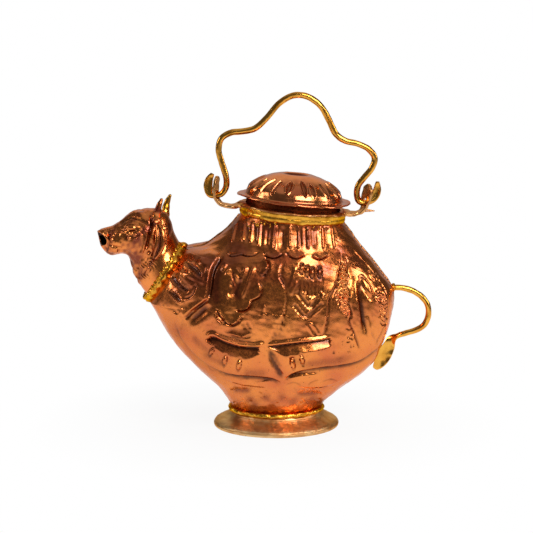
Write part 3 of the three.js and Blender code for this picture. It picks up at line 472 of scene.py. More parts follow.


# every tool and its strokes on the body; a stroke lists x and z by turns, in millimetres as the photograph
# shows them, and a dot is a very short stroke
# a tool's dark setting paints shade along its strokes, and its tarnish setting lays tarnish with painted shade
bodyWork = {
    "pleat": (mark("stroke", 1.1, 0.7, ends=0.12), [
        [-14, 28.9, -15.3, 16.6], [-8.8, 29.6, -10.4, 15.3], [-3.6, 28.9, -5.2, 12.7],
        [6.2, 27.6, 4.9, 10.7], [15.3, 28.3, 15.9, 11.4], [26.3, 28.3, 27, 10.7], [36.1, 27.6, 36.7, 10.7],
        [41.9, 27, 43.9, 11.4], [-19.5, 28, -22.5, 16], [20.6, 28, 20.9, 11]]),
    "flute": (mark("stroke", -0.9, 1.7, ends=0.3, dark=0.25), [
        [-11.4, 29, -12.8, 15], [-6.2, 29, -7.8, 13], [1.2, 28, 0, 11], [10.6, 28, 10.2, 10.5],
        [20.8, 28, 21.2, 10.5], [31.2, 28, 31.8, 10], [39, 27.5, 40.2, 11]]),
    "scallop": (mark("ledge", 1.0, 0.3, side=1, reach=2.0, foot=0.9, dark=0.75), [
        [-1.6, 9.1, 0.7, 6.8, 4.5, 5.9, 7.8, 6.8, 10, 8.5],
        [13.2, 9.1, 15.3, 6.8, 19, 5.3, 22.1, 6.2, 24.8, 7.9],
        [29.1, 7.1, 31.5, 5.5, 34.1, 4.7, 37.4, 5.9, 40.5, 7.9],
        [-26.3, 8.8, -23.1, 7.5, -19.2, 7.8, -16.6, 8.5, -12.7, 7.5, -8.8, 7.8, -5.5, 9.1]]),
    "drop": (mark("lens", 0.9, 1.35, moat=0.9, dark=1.0), [
        [22.8, 1, 22.6, -4.7], [26.5, -0.3, 26.3, -6.7], [29.7, -1.5, 29.6, -7.9], [34.4, -1, 34.6, -7.5]]),
    "stem": (mark("stroke", 0.7, 0.7, dark=0.1), [
        [18.4, -0.2, 18.2, -4.2, 16.6, -9.4, 15, -14.7], [20.5, -9.4, 17.2, -14.6, 15.9, -19.2]]),
    "fringe": (mark("stroke", -0.8, 0.5, ends=0.08, dark=0.8), [
        [21.9, -7.7, 21.1, -17.2], [24.5, -8.1, 24.4, -17.2], [26.7, -8.8, 26.6, -19.2],
        [29.1, -8.8, 29, -20.2], [31.8, -8.5, 31.5, -19.8], [34.4, -8.1, 34, -18.5],
        [36.7, -7.5, 35.8, -16.6]]),
    "bead": (mark("dot", 1.1, 0.85), [
        [24.8, -18.2, 24.8, -18.3], [29, -21.5, 29, -21.6], [36.4, -18.9, 36.4, -19]]),
    "chevron": (mark("flat", -0.45, 1.5, lip=0.3, ends=0.08, dark=0.75), [
        [19.6, -16.5, 24.2, -22.3, 28.6, -27.2], [28.6, -27.2, 32.3, -22.8, 35.9, -17.1],
        [17.8, -24.7, 21.4, -29.4, 25.1, -33.7], [25.1, -33.7, 30.5, -29.6, 36.9, -24]]),
    "bar": (mark("stroke", 0.55, 0.55, dark=0.05), [
        [14.4, -32.2, 14.4, -45.8], [17.4, -33.5, 17.1, -44.5], [21, -33.5, 20.9, -44.5],
        [25.9, -37.3, 28.6, -41.9, 31.8, -46], [27.9, -36.4, 31.9, -40.6, 34.1, -44.9]]),
    "panelLeft": (mark("ledge", 0.9, 0.4, side=-1, reach=2.6, foot=0.7, dark=0.6), [
        [10.1, 2.9, 8.8, -2.3, 8.8, -7.7, 11.7, -14, 12.6, -19.8, 11.4, -29.2, 9.4, -38.7, 7.4, -46]]),
    "belly": (mark("ledge", 0.9, 0.6, side=-1, reach=6, foot=0.4, dark=0.25), [
        [9.4, -30.9, 8.8, -34, 5.1, -42.6, 2.3, -47.5, -0.7, -50.8]]),
    "panelRight": (mark("ledge", 0.9, 0.5, side=-1, reach=4, foot=0.7, dark=0.5), [
        [48.4, 9.4, 47.5, -1, 45.1, -11.8, 40.5, -21.1, 39.6, -28.9, 38.7, -36.1, 35.8, -46.6]]),
    "lidLeft": (mark("stroke", 1.5, 1.3, ends=0.1), [
        [-40.6, -46.5, -34.8, -43.8, -27.2, -47.1, -16.4, -50.3, -5.7, -51.2, -0.3, -49.7]]),
    "lidRight": (mark("stroke", 0.9, 1.1, ends=0.1), [
        [0, -51.2, 10.7, -49.7, 23.1, -48.2, 35.8, -46.9, 41.3, -45.6]]),
    "lidFold": (mark("stroke", -0.8, 0.8, ends=0.2, dark=0.35), [
        [-36, -42.6, -27.2, -45.4, -16.4, -48.6, -6.5, -49.5]]),
    "padLeft": (mark("pad", -2.6, 0.6, lowRise=0.5, span=8.5, topPoints=5, dark=0.55), [
        [-39.6, -48.1, -34.8, -46.1, -26.1, -49.3, -17.5, -52, -5.4, -52.5, -5.4, -56.6, -11.6, -60.4,
        -18.6, -59.4, -25.1, -57.3, -32.6, -53]]),
    "padRight": (mark("pad", -2.4, 0.6, lowRise=0.8, span=7.5, topPoints=5, dark=0.4), [
        [0.7, -52.1, 10.7, -50.9, 23.1, -49.3, 35.8, -47.9, 41.3, -46.9, 41.6, -50.7, 36.4, -54.1, 25.9,
        -55.9, 19, -58.4, 12, -59.5, 6.8, -55.6]]),
    "smallLid": (mark("ledge", 0.7, 0.4, side=1, reach=3, foot=0.5, dark=0.5), [
        [-24.5, -44.1, -18.5, -45.8, -13.7, -46, -10.1, -43.8]]),
    "crease": (mark("stroke", -0.45, 0.7), [
        [-15.3, -36.4, -13.7, -41.3], [-13, -35.8, -10.1, -41], [71.5, -7.5, 74.1, -16.6, 75.1, -24.4]]),
    "dash": (mark("lens", 1.7, 1.35, moat=0.6, dark=0.15, tarnish=0.5), [
        [-34.6, -52.6, -36.7, -57.7], [-26.4, -57.5, -27.2, -63.6], [-17.1, -60.1, -18.1, -66.9],
        [16.3, -59.1, 17.6, -66.6], [22.2, -56.9, 23.7, -63.4]]),
    "shade": (mark("stroke", -0.5, 3.2, ends=0.3, tarnish=0.6), [
        [-45, -55, -34, -60, -22, -65], [15, -66, 30, -62.5, 48, -60.5, 62, -56],
        [-50, -42, -44, -50, -36, -57], [-18, -68.5, -6, -69, 3, -70.5], [-28, -41, -18, -43.5, -8, -41]]),
    "shine": (mark("stroke", 0.7, 0.9, ends=0.3), [
        [-30, -71, -16, -76, 4, -78.6], [14, -76.5, 34, -78, 52, -72]]),
    "cleft": (mark("stroke", -2.0, 2.6, ends=0.3, dark=0.15), [
        [0.2, -52, 4.4, -60.8, 8.1, -67.3, 10.9, -76.7]]),
    "cleftRidge": (mark("stroke", 0.7, 0.8), [
        [-0.3, -53, 1.4, -60.8, 3.6, -71.8]]),
    "cleftFold": (mark("stroke", 0.9, 1.0), [
        [2.9, -56.9, 6.8, -63.4, 12, -69.9]]),
    "hem": (mark("ledge", 1.8, 1.0, side=1, reach=9, foot=0.9, ends=0.07, dark=0.35), [
        [-58.2, -39.3, -55.6, -45.2, -51.5, -51, -45.8, -57.2, -38.8, -62.7, -30.2, -67, -19.7, -70, -4,
        -71.8, 4.7, -73.1, 10.4, -77],
        [11.4, -74.4, 15.3, -70.5, 22.1, -67.7, 35.2, -65.2, 48.2, -64, 61.3, -60.5, 74.4, -50.4]]),
    "hemCut": (mark("stroke", -1.0, 0.6, dark=0.8), [
        [12.5, -72.6, 22.1, -70.5, 34.3, -69.2]]),
    "arc": (mark("stroke", -0.4, 0.45, dark=0.4), [
        [-17.9, -73.9, -14.6, -73.3, -11, -73.8],
        [-9.4, -74.7, -5.5, -75.2, -1.6, -74.6, 4.9, -73.9, 10.1, -76.6],
        [12.5, -77.4, 17.7, -75.7, 23, -77.8], [26.9, -77.4, 30.2, -75.1, 34.1, -74],
        [36.1, -75.1, 41.3, -73.8, 46.5, -74.4], [-31.5, -68.6, -28.3, -70.9, -25, -71.2],
        [-39.3, -64.7, -36.1, -67.6, -32.8, -68.2], [55.8, -7.7, 54, -11.9, 56.6, -17.6]]),
    "hollow": (mark("stroke", -0.6, 2.2, ends=0.3, dark=0.15, tarnish=0.7), [
        [-24.4, -79.2, -17.2, -80.9, -8.1, -81.6], [17.2, -82.5, 25.7, -83.4, 36.1, -82.2]]),
    "clothLeft": (mark("ledge", 1.5, 0.8, side=-1, reach=5, foot=1.3, ends=0.12, dark=0.7), [
        [-29.8, 7.8, -34.3, 1, -36.4, -4.4, -37.4, -10.8, -38.5, -18.3, -38.3, -21.8]]),
    "clothFloor": (mark("stroke", -0.8, 4.5, ends=0.25, dark=0.5, tarnish=0.9), [
        [-27, 3, -32, -6, -33.5, -14, -33, -22, -36, -29], [-20, -8, -20, -16, -17, -24]]),
    "leafDeep": (mark("leaf", -1.7, 2.3, dark=0.9), [
        [-51.3, 1.2, -47.1, -1.3, -42.2, -6.7]]),
    "leafRim": (mark("stroke", 0.7, 0.6), [
        [-37.8, -0.6, -38.7, -3.6, -40.6, -5.9, -43.5, -6.6]]),
    "lump": (mark("dot", 1.2, 3.0), [
        [-41, 1.8, -40.5, 1.5], [-48, -4.5, -47.5, -4.8]]),
    "shoulderRidge": (mark("stroke", 1.1, 1.5), [
        [-57.9, -2.6, -51.7, -5.9, -45.6, -8.6, -38.7, -11]]),
    "slotDeep": (mark("stroke", -2.0, 1.5, dark=0.85), [
        [-61.3, -5.5, -58.2, -10.7, -50.6, -16.4]]),
    "slotRidge": (mark("stroke", 0.9, 0.45), [
        [-57.9, -8.3, -54.9, -11.7, -51.5, -15.1]]),
    "slotFace": (mark("stroke", 0.9, 1.3), [
        [-56.2, -5.2, -51.7, -9.1, -46.8, -13.3]]),
    "curl": (mark("ledge", 1.0, 0.45, side=1, reach=2.4, foot=0.8, dark=0.7), [
        [-47.5, -11.4, -45.2, -12.9, -46.1, -16.2, -47.8, -19.2, -50.7, -21, -54.3, -21.3]]),
    "slotSmall": (mark("leaf", -1.5, 1.6, dark=0.85), [
        [-62.4, -16.2, -59.1, -19.5, -55.7, -23.1]]),
    "vee": (mark("stroke", 0.5, 0.5, dark=0.1), [
        [-60.6, -30, -57.9, -32.1], [-57.9, -32.1, -55.7, -29.9, -54.1, -27]]),
    "foldRidge": (mark("ledge", 1.7, 0.6, side=-1, reach=5, foot=1.1, ends=0.12, dark=0.6), [
        [-38, -20.7, -43.9, -25, -49.4, -29.2, -54, -34.1]]),
    "foldShade": (mark("stroke", -1.6, 3.2, ends=0.3, dark=0.75, tarnish=0.8), [
        [-37.1, -24, -41, -28.4, -45.8, -33, -51, -37.1]]),
    "stroke": (mark("stroke", 0.8, 0.6, ends=0.25), [
        [-23.5, -0.6, -27, -6.2], [-19.7, -0.3, -15.9, -4.6], [-21.6, -4.6, -17.5, -9.2],
        [-23.2, -7.9, -20.5, -13.8], [-26.4, -17.2, -24.5, -21.3]]),
    "strokeHollow": (mark("stroke", -0.5, 1.9, dark=0.4, tarnish=0.9), [
        [-22.5, -2, -21.5, -8, -22, -14], [-16, -5, -18, -12, -22, -20]]),
    "fold": (mark("stroke", 0.9, 1.0), [
        [-7.8, 1, -10.4, -6.2, -12.7, -12.9, -16.4, -21.6], [-12.9, 0.5, -15, -4.9, -17.5, -9.8],
        [-26, 2.9, -29.2, -3.6], [-1.6, -24.7, -2.3, -30.2, -2.9, -35.8],
        [65.3, -32.2, 66.9, -40, 67.9, -47.8]]),
    "scallopEdge": (mark("ledge", 1.4, 0.35, side=-1, reach=1.6, foot=1.0, ends=0.1, dark=0.85), [
        [-1.5, 5.8, 0.8, 1.6, 0.5, -2.2, -3, -6.6], [-4.9, -11.3, -3.5, -14.6, -5.1, -19.8, -10.8, -22.4],
        [-10.1, -22.8, -11.6, -26.5, -14.8, -28.7, -19.8, -28.6],
        [-16, -31.9, -18.6, -35.8, -22.4, -38, -26.1, -36.5, -29.9, -32.2, -32.7, -27.2]]),
    "lensSlit": (mark("lens", 1.0, 1.2, moat=0.9, dark=0.9), [
        [-32.5, -31.1, -30.6, -33.9, -27.6, -36.7]]),
    "serpent": (mark("stroke", -1.0, 0.6, ends=0.05, dark=0.85), [
        [52.1, 5.5, 52.9, 2.1, 52.4, -3.1, 53.8, -7.7, 53.2, -13.5, 54.4, -17.6, 53.8, -22.8, 55.6, -30.4,
        54.4, -35, 55.8, -40, 57.3, -43.2, 60.2, -53]]),
    "featherEdge": (mark("stroke", -0.4, 0.8, dark=0.2), [
        [48, 2.7, 46.6, -5.5, 45.4, -14, 45.4, -21.1, 48, -26.9, 52, -32.7]]),
    "groove": (mark("stroke", -2.2, 1.9, ends=0.25, dark=0.45, tarnish=0.7), [
        [60.2, -6, 61.4, -15.3, 63.1, -29.2, 64.9, -44.3]]),
    "lensBright": (mark("lens", 1.5, 2.0, moat=0.4), [
        [61.9, -6.6, 65.5, -13, 68.3, -20.5]]),
    "dot": (mark("dot", -0.7, 0.7, dark=0.8), [
        [43.6, -55.6, 43.6, -55.7]]),
    "seamLine": (mark("stroke", -0.5, 0.5, ends=0.05, dark=0.4), [
        [56.7, 10.3, 65.3, 1, 73.5, -9.4, 78.2, -18.5, 78.7, -29.6, 75.7, -41.3, 71.2, -49.1]]),
    "swell": (mark("dot", 1.6, 13.0), [
        [-22, -60, -21, -60], [30, -58, 31, -58], [26, 2, 27, 2], [-52, -2, -51, -2]]),
}

# the same for the head
headWork = {
    "browLine": (mark("stroke", -0.7, 0.9, dark=0.75), [
        [-96.9, 25.4, -94.6, 28.3, -91.3, 30.6, -87.8, 31.9, -83.5, 31.1, -79.6, 29.1, -75.4, 27]]),
    "browRidge": (mark("stroke", 0.5, 1.4), [
        [-93.3, 33.1, -88.1, 35.4, -82.2, 34.5, -77.7, 31.9]]),
    "lid": (mark("stroke", 0.7, 0.6), [
        [-93.3, 24.1, -91, 26.3, -88.1, 27.4, -84.8, 26.8, -82.2, 25]]),
    "eyeBall": (mark("dot", 0.9, 1.6), [
        [-89.2, 25.2, -87, 25.5]]),
    "eyeSlit": (mark("stroke", -0.7, 0.5, dark=0.9), [
        [-90.5, 23.7, -88.1, 23.3, -84.8, 24]]),
    "eyeLump": (mark("dot", 0.6, 0.8), [
        [-92, 22.4, -91.9, 22.4], [-89.8, 20.5, -89.7, 20.5], [-87.9, 21.6, -87.8, 21.6],
        [-85.7, 20.5, -85.6, 20.5], [-83.3, 22, -83.2, 22], [-89.1, 18.5, -89, 18.5],
        [-84.8, 18.1, -84.7, 18.1], [-81.6, 24, -81.5, 24], [-81.8, 19.8, -81.7, 19.8]]),
    "muzzleLump": (mark("dot", 0.45, 0.9), [
        [-104.3, 20.7, -104.2, 20.7], [-102.2, 21.5, -102.1, 21.5], [-100.1, 20.1, -100, 20.1],
        [-102.8, 18.7, -102.7, 18.7], [-98.7, 21.4, -98.6, 21.4], [-101.1, 17.6, -101, 17.6]]),
    "cheekRidge": (mark("stroke", 0.8, 1.2), [
        [-80.3, 25.7, -78.1, 20.6, -78.7, 15.3, -80.6, 10.1, -83.2, 6.8]]),
    "earGroove": (mark("stroke", -1.3, 0.85, ends=0.12, dark=0.9), [
        [-74.9, 33.8, -74.7, 26, -76.8, 17.9, -78.4, 10.9], [-71.5, 24.1, -70.5, 15.3, -72.5, 9.2, -75.5, 6]]),
    "earRidge": (mark("stroke", 1.0, 1.0), [
        [-70.8, 26.7, -68.4, 18.5, -69.5, 11.7, -71.2, 6.5]]),
    "napeFold": (mark("stroke", 0.7, 1.5), [
        [-62.7, 15, -65.1, 10.7, -68.3, 5.2], [-65.7, 26.7, -64.9, 19.8, -64, 14.6]]),
    "hornRoot": (mark("stroke", -0.8, 0.8, dark=0.8), [
        [-75.4, 29.2, -71.8, 27.2, -67.6, 28.9]]),
    "jaw": (mark("dot", 0.7, 4.0), [
        [-89.4, 15.3, -86.1, 14.6]]),
    "mouthLine": (mark("stroke", -0.4, 0.6, dark=0.4), [
        [-105.3, 15.9, -102, 14, -97.2, 12.7, -93, 12.3]]),
    "nostril": (mark("leaf", -1.0, 1.9, dark=1.0), [
        [-107.8, 20.7, -104.7, 17.6]]),
    "chin": (mark("stroke", 0.5, 1.6), [
        [-101.7, 10.7, -96.5, 10.1]]),
    "pit": (mark("dot", -0.9, 0.9, dark=0.9), [
        [-76.4, 9.4, -76.3, 9.4], [-72.8, 5, -72.7, 5], [-75.7, 2.7, -75.6, 2.7]]),
    "throat": (mark("stroke", 0.5, 1.8), [
        [-88.1, 2.9, -84.2, -7.5, -77.7, -17.2], [-80.9, 5.5, -75.7, -3.6, -71.8, -9.4]]),
}


# vessel and head as surfaces of two parameters

vessel = {
    "left": [[-28.8, 12.4], [-31.6, 17.5], [-38.5, 27], [-47.5, 35.5], [-57, 45], [-66, 55.5], [-73, 66],
             [-78, 75.5], [-82.2, 82.4]],
    "nape": [[-59.6, 116.8], [-48.1, 118.7], [-40, 123.8], [-31.5, 130.5], [-22.7, 140.7]],
    "right": [[28.8, 12.4], [32.8, 17.5], [44, 27], [56, 35.6], [65, 45], [69.6, 56], [73, 65.5], [75.3, 76],
              [76.3, 84.5], [75, 92], [68, 102], [61.5, 110.5], [54, 119.4], [47.6, 128.4], [43, 134.6]],
    "depth": [28.8, 33.5, 39.5, 43.5, 46.3, 47.8, 48, 47.2, 45.3, 42.2, 38.5, 35.3, 33],
    "widest": [0, 0.5, 1.5, 1, 0, -1, -1.5, -1, 1, 4, 7, 9.2, 10.2],
    "fullness": [2, 2.05, 2.15, 2.3, 2.4, 2.4, 2.35, 2.3, 2.25, 2.2, 2.1, 2.05, 2],
    "belly": 0.52, "collar": 0.74, "low": np.array([-82.2, 82.4]), "high": np.array([-59.6, 116.8]),
    "ease": 0.02, "wall": 1.1, "seamGap": 0.8, "hammerHeight": 0.10, "halfWidthLimit": 48.0,
}
collarRadius = np.linalg.norm(vessel["high"] - vessel["low"]) / 2


def collarShare(v):
    return np.clip((v - vessel["belly"]) / (vessel["collar"] - vessel["belly"]), 0, 1)


def spoutEdge(v):
    # belly, then straight across the round opening under the collar, then the nape
    belly = catmullRom(vessel["left"], v / vessel["belly"])
    nape = catmullRom(vessel["nape"], (v - vessel["collar"]) / (1 - vessel["collar"]))
    opening = vessel["low"] + (vessel["high"] - vessel["low"]) * collarShare(v)[..., None]
    above = np.where((v >= vessel["collar"])[..., None], nape, opening)
    return np.where((v <= vessel["belly"])[..., None], belly, above)


def vesselSurface(u, v):
    # oval sections, with the corners of the spout's edge eased on the flanks away from the collar
    v = v[:, None]
    plain = spoutEdge(v)
    mean = sum(spoutEdge(np.clip(v + k * vessel["ease"], 0, 1)) for k in np.linspace(-2.5, 2.5, 11)) / 11
    share = smooth(v, 0.1, 0.3) * (1 - smooth(v, 0.85, 0.97))
    eased = plain + (mean - plain) * share[..., None]
    blend = smooth(u, 0.7, 0.97)[None, :, None]
    return ovalSections(u, v, eased) * (1 - blend) + ovalSections(u, v, plain) * blend


def ovalSections(u, v, left):
    # each section stands on a straight line from the spout side to the handle side:
    # x = middle + reach cos^p, y = -depth sin^p, cut off square where the round opening of the spout is
    share = collarShare(v)
    right = catmullRom(vessel["right"], v)
    depth, middle, full = (catmullRom(vessel[key], v)[..., 0] for key in ("depth", "widest", "fullness"))
    power = 2 / full
    chord = 2 * collarRadius * np.sqrt(share * (1 - share))
    end = math.pi - np.arcsin((chord / depth) ** (1 / power))
    angle = u[None, :] * end
    leftReach = (middle - left[..., 0]) / np.abs(np.cos(end)) ** power
    reach = np.where(np.cos(angle) > 0, right[..., 0] - middle, leftReach)
    x = middle + np.sign(np.cos(angle)) * reach * np.abs(np.cos(angle)) ** power
    z = left[..., 1] + (right[..., 1] - left[..., 1]) * (x - left[..., 0]) / (right[..., 0] - left[..., 0])
    y = -depth * np.abs(np.sin(angle)) ** power
    return np.stack([x, y, z], axis=-1)


head = {
    "top": [[-62.2, 118.8], [-66.3, 127], [-68.3, 134.5], [-72.5, 141.2], [-81.5, 143], [-89, 142],
            [-95.5, 139.4], [-100.5, 135.6], [-105.5, 132.3], [-111, 130.8], [-116, 128.7]],
    "low": [[-84, 86.2], [-88.6, 93.2], [-92.2, 101], [-94.4, 107.5], [-96.4, 112.3], [-99.5, 113.9],
            [-103, 113.7], [-106.5, 113], [-109.3, 113.8], [-111.6, 115.8], [-114, 119.2]],
    "halfWidth": [20.6, 18.6, 17.2, 17, 16.8, 15.6, 13.8, 12, 10.8, 9.8, 8.2],
    "turn": math.radians(7), "pivotX": -70.0, "muzzleSlant": 0.55, "wall": 1.1, "gap": 0.15, "relief": 1.35,
    "halfWidthLimit": 20, "columns": 181, "rows": 241,
}


def turnHead(points, v=1.0):
    # the head looks a little towards the front: its neck turns about the collar
    a = head["turn"] * smooth(np.asarray(v, float), 0, 0.35)
    x, y = points[..., 0] - head["pivotX"], points[..., 1]
    return np.stack([x * np.cos(a) - y * np.sin(a) + head["pivotX"], x * np.sin(a) + y * np.cos(a),
                     points[..., 2]], axis=-1)


def headSurface(u, v):
    # ovals from the collar round to the muzzle; each stands on the line from its low point to its top point
    top, low = catmullRom(head["top"], v)[:, None, :], catmullRom(head["low"], v)[:, None, :]
    width = catmullRom(head["halfWidth"], v)
    angle = math.pi * u[None, :]
    along = (1 + np.cos(angle)) / 2
    x = low[..., 0] + (top[..., 0] - low[..., 0]) * along
    z = low[..., 1] + (top[..., 1] - low[..., 1]) * along
    return np.stack([x, -width * np.sin(angle), z], axis=-1)


def rimmedShell(outer, inner, every):
    # a wall: a fine outer grid and an inner grid with one point for every few of its own, joined at the edge
    rows, columns = outer.shape[:2]
    base = rows * columns

    def border(r, c):
        top = [(0, j) for j in range(c - 1)]
        side = [(i, c - 1) for i in range(r - 1)]
        bottom = [(r - 1, j) for j in range(c - 1, 0, -1)]
        return np.array(top + side + bottom + [(i, 0) for i in range(r - 1, 0, -1)]) @ [c, 1]

    fine = border(rows, columns)
    coarse = border(*inner.shape[:2]) + base
    k = np.arange(len(fine))
    half = (k % every) >= every // 2
    owner = coarse[(k // every + half) % len(coarse)]
    # each short outer edge looks at the nearer inner point, and one more triangle closes each inner edge
    fans = np.stack([fine, np.roll(fine, -1), owner], axis=1)
    m = np.arange(len(coarse))
    middle = fine[(m * every + every // 2) % len(fine)]
    links = np.stack([middle, np.roll(coarse, -1), coarse[m]], axis=1)
    points = np.vstack([outer.reshape(-1, 3), inner.reshape(-1, 3)])
    return points, [gridQuads(rows, columns), gridQuads(*inner.shape[:2], start=base)[:, ::-1], fans, links]


def withInside(values, inner, inside):
    # one value for each point of a shell: those of its outer grid, and a constant on its inner grid
    return np.concatenate([values.ravel(), np.full(inner[..., 0].size, inside)])


def localHollow(height, reach):
    # how far a point lies below the average round it, from 0 to 1
    padded = np.pad(height, reach, mode="edge")
    total = np.cumsum(np.cumsum(np.pad(padded, ((1, 0), (1, 0))), axis=0), axis=1)
    n = 2 * reach + 1
    mean = (total[n:, n:] - total[:-n, n:] - total[n:, :-n] + total[:-n, :-n]) / n**2
    return np.clip((mean - height - 0.1) / 0.9, 0, 1)


def patches(points, base, amount, size, count, seed):
    # soft patches of tarnish round a mean
    return np.clip(base + amount * ripple(points, size, count, seed), 0, 1)


def scattered(rng, count, west, east, low, high):
    return np.stack([rng.uniform(west, east, count), rng.uniform(low, high, count)], axis=1)


def punched(x, z, spots, height, width):
    total = np.zeros(x.shape)
    for sx, sz in spots:
        near = (np.abs(x - sx) < 3 * width) & (np.abs(z - sz) < 3 * width)
        total[near] += height * np.exp(-((x[near] - sx) ** 2 + (z[near] - sz) ** 2) / width**2)
    return total


bodyDetail = {
    "feather": [(48.2, 3), (52.4, 2), (52.2, -4), (53.2, -13), (53.4, -22), (54.8, -31), (52.2, -33),
                (48, -27), (45.6, -21), (45.6, -14), (46.8, -5)],
    "featherHeight": 0.6, "featherPitch": 3.1, "featherDark": 0.3,
    "border": [(68.3, -3.6), (73.5, -12.9), (75.9, -23.4), (75.5, -38.5)],
    "borderDots": 130, "raisedDots": 80, "sprigDots": 26, "pits": 150,
    "spoutMiddle": np.array([-70.9, 0, 99.6]), "insideShade": 0.8,
    "columns": 301, "bellyRows": 137, "collarRows": 65, "napeRows": 89,
}


def bodyRelief(x, z):
    # height, painted shade, and tarnish with painted shade and painted dark reflection mixed in, of all the
    # work on the body, by place in the photograph
    height, dark, patina = carve(x, z, bodyWork)
    rng = np.random.default_rng(7)
    # feather hatching between the panel and the winding line: slanting ridges about 3 mm apart, with shade
    # painted over the hatched area
    feather = insideOutline(x, z, bodyDetail["feather"])
    slant = z + 0.55 * np.abs(x - 49.5) + 0.5 * np.sin(x * 1.9)
    height += feather * bodyDetail["featherHeight"] * np.sin(fullTurn * slant / bodyDetail["featherPitch"])
    dark = np.maximum(dark, feather * bodyDetail["featherDark"])
    # sprigs with dots lower down, punched from the front
    height += punched(x, z, scattered(rng, bodyDetail["sprigDots"], 52.5, 57.5, -55, -38), -0.5, 0.55)
    # stippled border along the handle side
    run = catmullRom(bodyDetail["border"], rng.uniform(0, 1, bodyDetail["borderDots"]))
    spots = run + rng.normal(size=run.shape) * [1.5, 1.0]
    raised = bodyDetail["raisedDots"]
    height += punched(x, z, spots[:raised], 0.55, 0.6) + punched(x, z, spots[raised:], -0.6, 0.6)
    # pitted band over the foot
    height += punched(x, z, scattered(rng, bodyDetail["pits"], -40, 55, -90, -66), -0.16, 0.8)
    # darker metal: painted dark reflection with some tarnish over quiet places of the upper half, painted shade
    # mottled with tarnish in a band over the foot, and painted shade on the spout side of the belly
    seen = np.stack([x, z, 0 * x], axis=-1)
    quiet = smooth(z, -40, -5) * smooth(x, 66, 44) * (0.6 + 0.3 * ripple(seen, 20, 7, 3))
    patina = np.maximum(patina, np.clip(quiet, 0, 0.85) * (1 - feather))
    patina = np.maximum(patina, np.clip(smooth(z, -78, -90) * (0.4 + 0.4 * ripple(seen, 9, 8, 4)), 0, 0.7))
    spoutSideShade = smooth(x, 5, -55) * smooth(z, -15, -50) * (0.42 + 0.16 * ripple(seen, 15, 7, 6))
    return height, dark, np.maximum(patina, np.clip(spoutSideShade, 0, 0.7))


def chasedBody():
    every, gap, limit = 4, vessel["seamGap"], vessel["halfWidthLimit"]
    u = np.linspace(0, 1, bodyDetail["columns"])
    rise = (1 - np.cos(np.pi * np.linspace(0, 1, bodyDetail["collarRows"]))) / 2
    v = np.concatenate([np.linspace(0, vessel["belly"], bodyDetail["bellyRows"])[:-1],
                        vessel["belly"] + (vessel["collar"] - vessel["belly"]) * rise[:-1],
                        np.linspace(vessel["collar"], 1, bodyDetail["napeRows"])])
    plain = vesselSurface(u, v)
    normals = gridNormals(plain, towardsFront)
    height, dark, patina = bodyRelief(*seenFrom(plain))
    # nothing is chased near the seam, under the bands or at the spout
    inwards = -plain[..., 1]
    spout = np.linalg.norm(plain - bodyDetail["spoutMiddle"], axis=2)
    fade = smooth(inwards, 1.0, 5.0) * smooth(v, 0.0, 0.05)[:, None] * smooth(1 - v, 0.0, 0.035)[:, None]
    fade = fade * smooth(spout, collarRadius + 1.0, collarRadius + 4.5)
    height += vessel["hammerHeight"] * ripple(plain, 9, 9, 5) + 0.03 * ripple(plain, 3.2, 9, 11)
    height = height * fade - 0.5 * smooth(inwards, 20, 44)
    sheet = plain + normals * height[..., None]
    inner = (sheet - vessel["wall"] * normals)[::every, ::every]
    for grid in (sheet, inner):
        grid[..., 1] = -(gap - np.minimum(grid[..., 1], 0) * (1 - gap / limit))
    squeeze = min(limit / np.abs(sheet[..., 1]).max(), 1)
    for grid in (sheet, inner):
        grid[..., 1] *= squeeze
    points, faces = rimmedShell(sheet, inner, every)
    # painted shade in the sunk places and along the strokes
    hollow = np.maximum(localHollow(height, 7), dark) * fade
    # the inner walls, inside the pot, are painted dark as shade
    hollow, patina = (withInside(values, inner, bodyDetail["insideShade"]) for values in (hollow, patina))
    for name, node, side in (("chasedFrontShell", "body_front_shell", 1),
                             ("chasedRearShell", "body_rear_shell", -1)):
        addPiece(name, points * [1, side, 1], faces, "embossed_copper", [node], patina, hollow, sharp=60)


